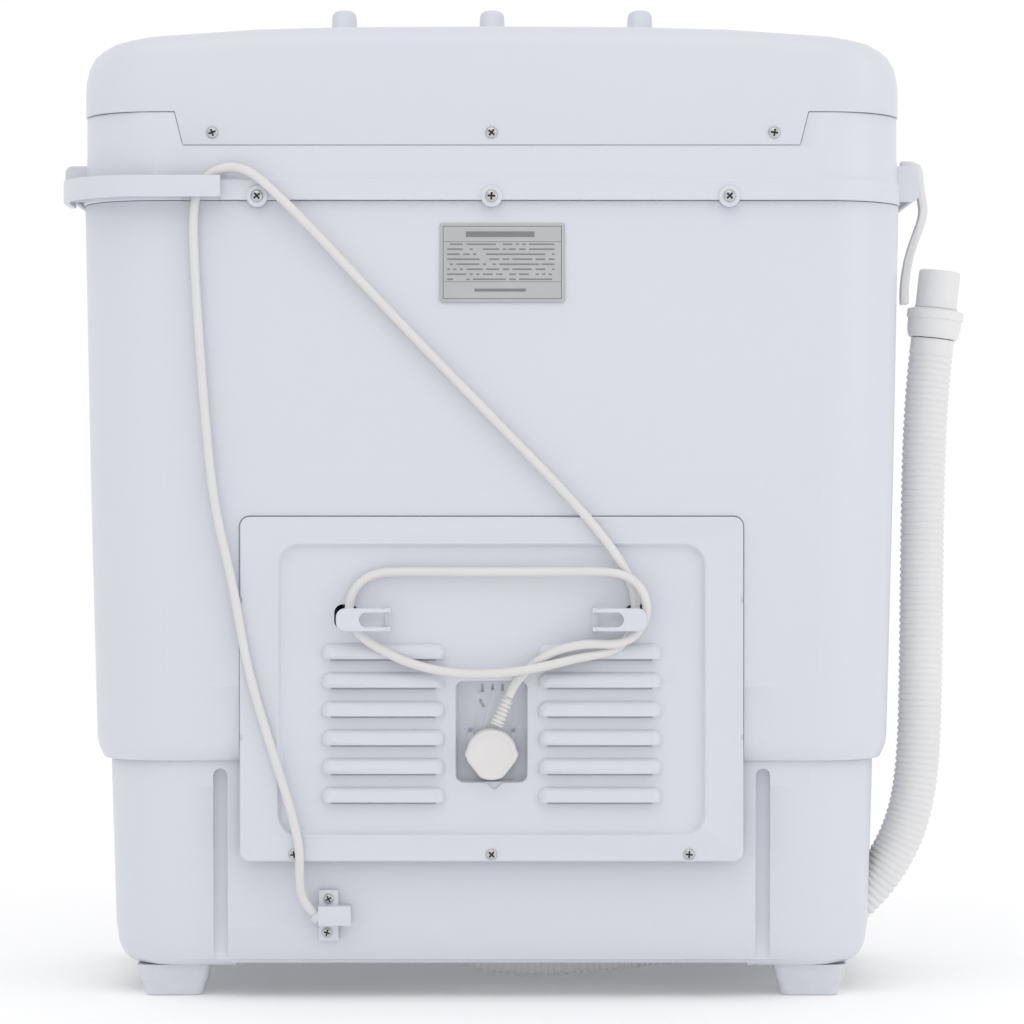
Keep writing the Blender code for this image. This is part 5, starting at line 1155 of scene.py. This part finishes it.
for column in range(COLUMNS):
    for row in range(ROWS):
        middle_z = WALL_LOW + (row + 0.5) * height
        rows_of = []
        for radius in (BASKET_INNER, BASKET_OUTER):
            outer_ring, hole_ring = [], []
            for (sx, sz), (hx, hz) in zip(square, rounds):
                turn = (column + 0.5 + sx) * wide
                outer_ring.append(bm.verts.new((SPIN_MIDDLE.x + math.cos(turn) * radius,
                                                SPIN_MIDDLE.y + math.sin(turn) * radius,
                                                middle_z + sz * height)))
                turn = (column + 0.5) * wide + hx * HOLE / 0.0918
                hole_ring.append(bm.verts.new((SPIN_MIDDLE.x + math.cos(turn) * radius,
                                               SPIN_MIDDLE.y + math.sin(turn) * radius, middle_z + hz * HOLE)))
            rows_of += [outer_ring, hole_ring]
        inner_edge, inner_hole, outer_edge, outer_hole = rows_of
        for step in range(8):
            after = (step + 1) % 8
            bm.faces.new((inner_edge[step], inner_edge[after], inner_hole[after], inner_hole[step]))
            bm.faces.new((outer_edge[step], outer_hole[step], outer_hole[after], outer_edge[after]))
            bm.faces.new((inner_hole[step], inner_hole[after], outer_hole[after], outer_hole[step]))
bmesh.ops.remove_doubles(bm, verts=bm.verts[:], dist=0.00002)
for old in (basket, rim):
    bpy.data.objects.remove(old)
basket = smooth_mesh("spin_basket_pressing", bm)
pressed = Finish("basket_steel", Metallic=1.0, Roughness=0.3)
turned_grain = pressed.speckle(60.0, 5.0)
pressed.bumped(pressed.speckle(500.0, 3.0), 0.15, 0.0001)
basket_steel = pressed.looks(Base_Color=pressed.mixed(turned_grain, (0.56, 0.57, 0.58), (0.68, 0.69, 0.70)),
                             Roughness=0.22 + turned_grain * 0.2)
dress(basket, "spin_basket", "basket_steel", basket_steel, "spin_basket")


# ---- Spin press plate ----------------------------------------------------------------------------
# A loose white disc that holds the washing down in the basket, with six finger holes and a rim.
press_middle = SPIN_MIDDLE + Vector((0, 0, 0.500))
press = turned_piece("press_plate_moulding", [
    (0, 0.0), (0.0800, 0.0), (0.0832, 0.0006), (0.0840, 0.0018), (0.0840, 0.0036), (0.0834, 0.0047),
    (0.0822, 0.0050), (0.0805, 0.0046), (0.0795, 0.0036), (0.0780, 0.0032), (0, 0.0032)],
                     press_middle, Vector((0, 0, 1)), 80)
joined(press, turned_piece("collar", [
    (0.0200, 0.0020), (0.0240, 0.0020), (0.0236, 0.0046), (0.0222, 0.0050), (0.0207, 0.0046)],
                           press_middle, Vector((0, 0, 1)), 48))
for turn in range(6):
    aim = math.radians(60 * turn)
    hole = SPIN_MIDDLE + Vector((math.cos(aim), math.sin(aim), 0.0)) * 0.045
    shaped(press, skin("finger_hole", disc_rings(hole, [(0.49, 0.0120), (0.51, 0.0120)], 32)))
dress(eased(press, 0.0005), "spin_basket", "white_moulding", tub_moulding, "spin_press_plate")


# ---- Drive, valve and wiring ---------------------------------------------------------------------
# The working parts inside the body keep their plain shapes: painted motors, black rubber mounts and
# belt, grey plastic pulley, valve and timer cases, and a sleeved bundle of wires.
paint = Finish("motor_paint", Metallic=0.5, Roughness=0.5)
oil = paint.speckle(34.0, 4.0)
paint.bumped(paint.speckle(600.0, 3.0), 0.25, 0.0002)
motor_paint = paint.looks(Base_Color=paint.mixed(oil, (0.10, 0.105, 0.12), (0.17, 0.175, 0.19)),
                          Roughness=0.4 + oil * 0.2)
soft = Finish("black_rubber", Roughness=0.7)
bloom = soft.speckle(50.0, 4.0)
soft.bumped(soft.speckle(900.0, 3.0), 0.3, 0.0002)
black_rubber = soft.looks(Base_Color=soft.mixed(bloom, (0.022, 0.022, 0.024), (0.05, 0.05, 0.053)),
                          Roughness=0.6 + bloom * 0.2)
braid = Finish("wire_sleeve", Roughness=0.6)
threads = {"Vector": braid.place(), "Scale": 300.0, "Distortion": 3.0}
weave = braid.node("ShaderNodeTexWave", {}, threads, "Fac")
braid.bumped(weave, 0.4, 0.0003)
wire_sleeve = braid.looks(Base_Color=braid.mixed(weave, (0.03, 0.03, 0.035), (0.09, 0.09, 0.10)),
                          Roughness=0.5 + weave * 0.2)
INNER_FINISHES = {
    motor_paint: ("wash_motor", "spin_motor", "bearing_housing", "brake_drum"),
    black_rubber: ("spin_mount_1", "spin_mount_2", "spin_mount_3", "drive_belt", "bellows_seal",
                   "drain_valve_plug"),
    grey_moulding: ("wash_pulley", "run_capacitor", "drain_valve_body", "wash_timer", "selector_switch",
                    "spin_timer"),
    wire_sleeve: ("wire_harness",),
}
for finish, names in INNER_FINISHES.items():
    for name in names:
        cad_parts[name].material_slots[0].material = finish
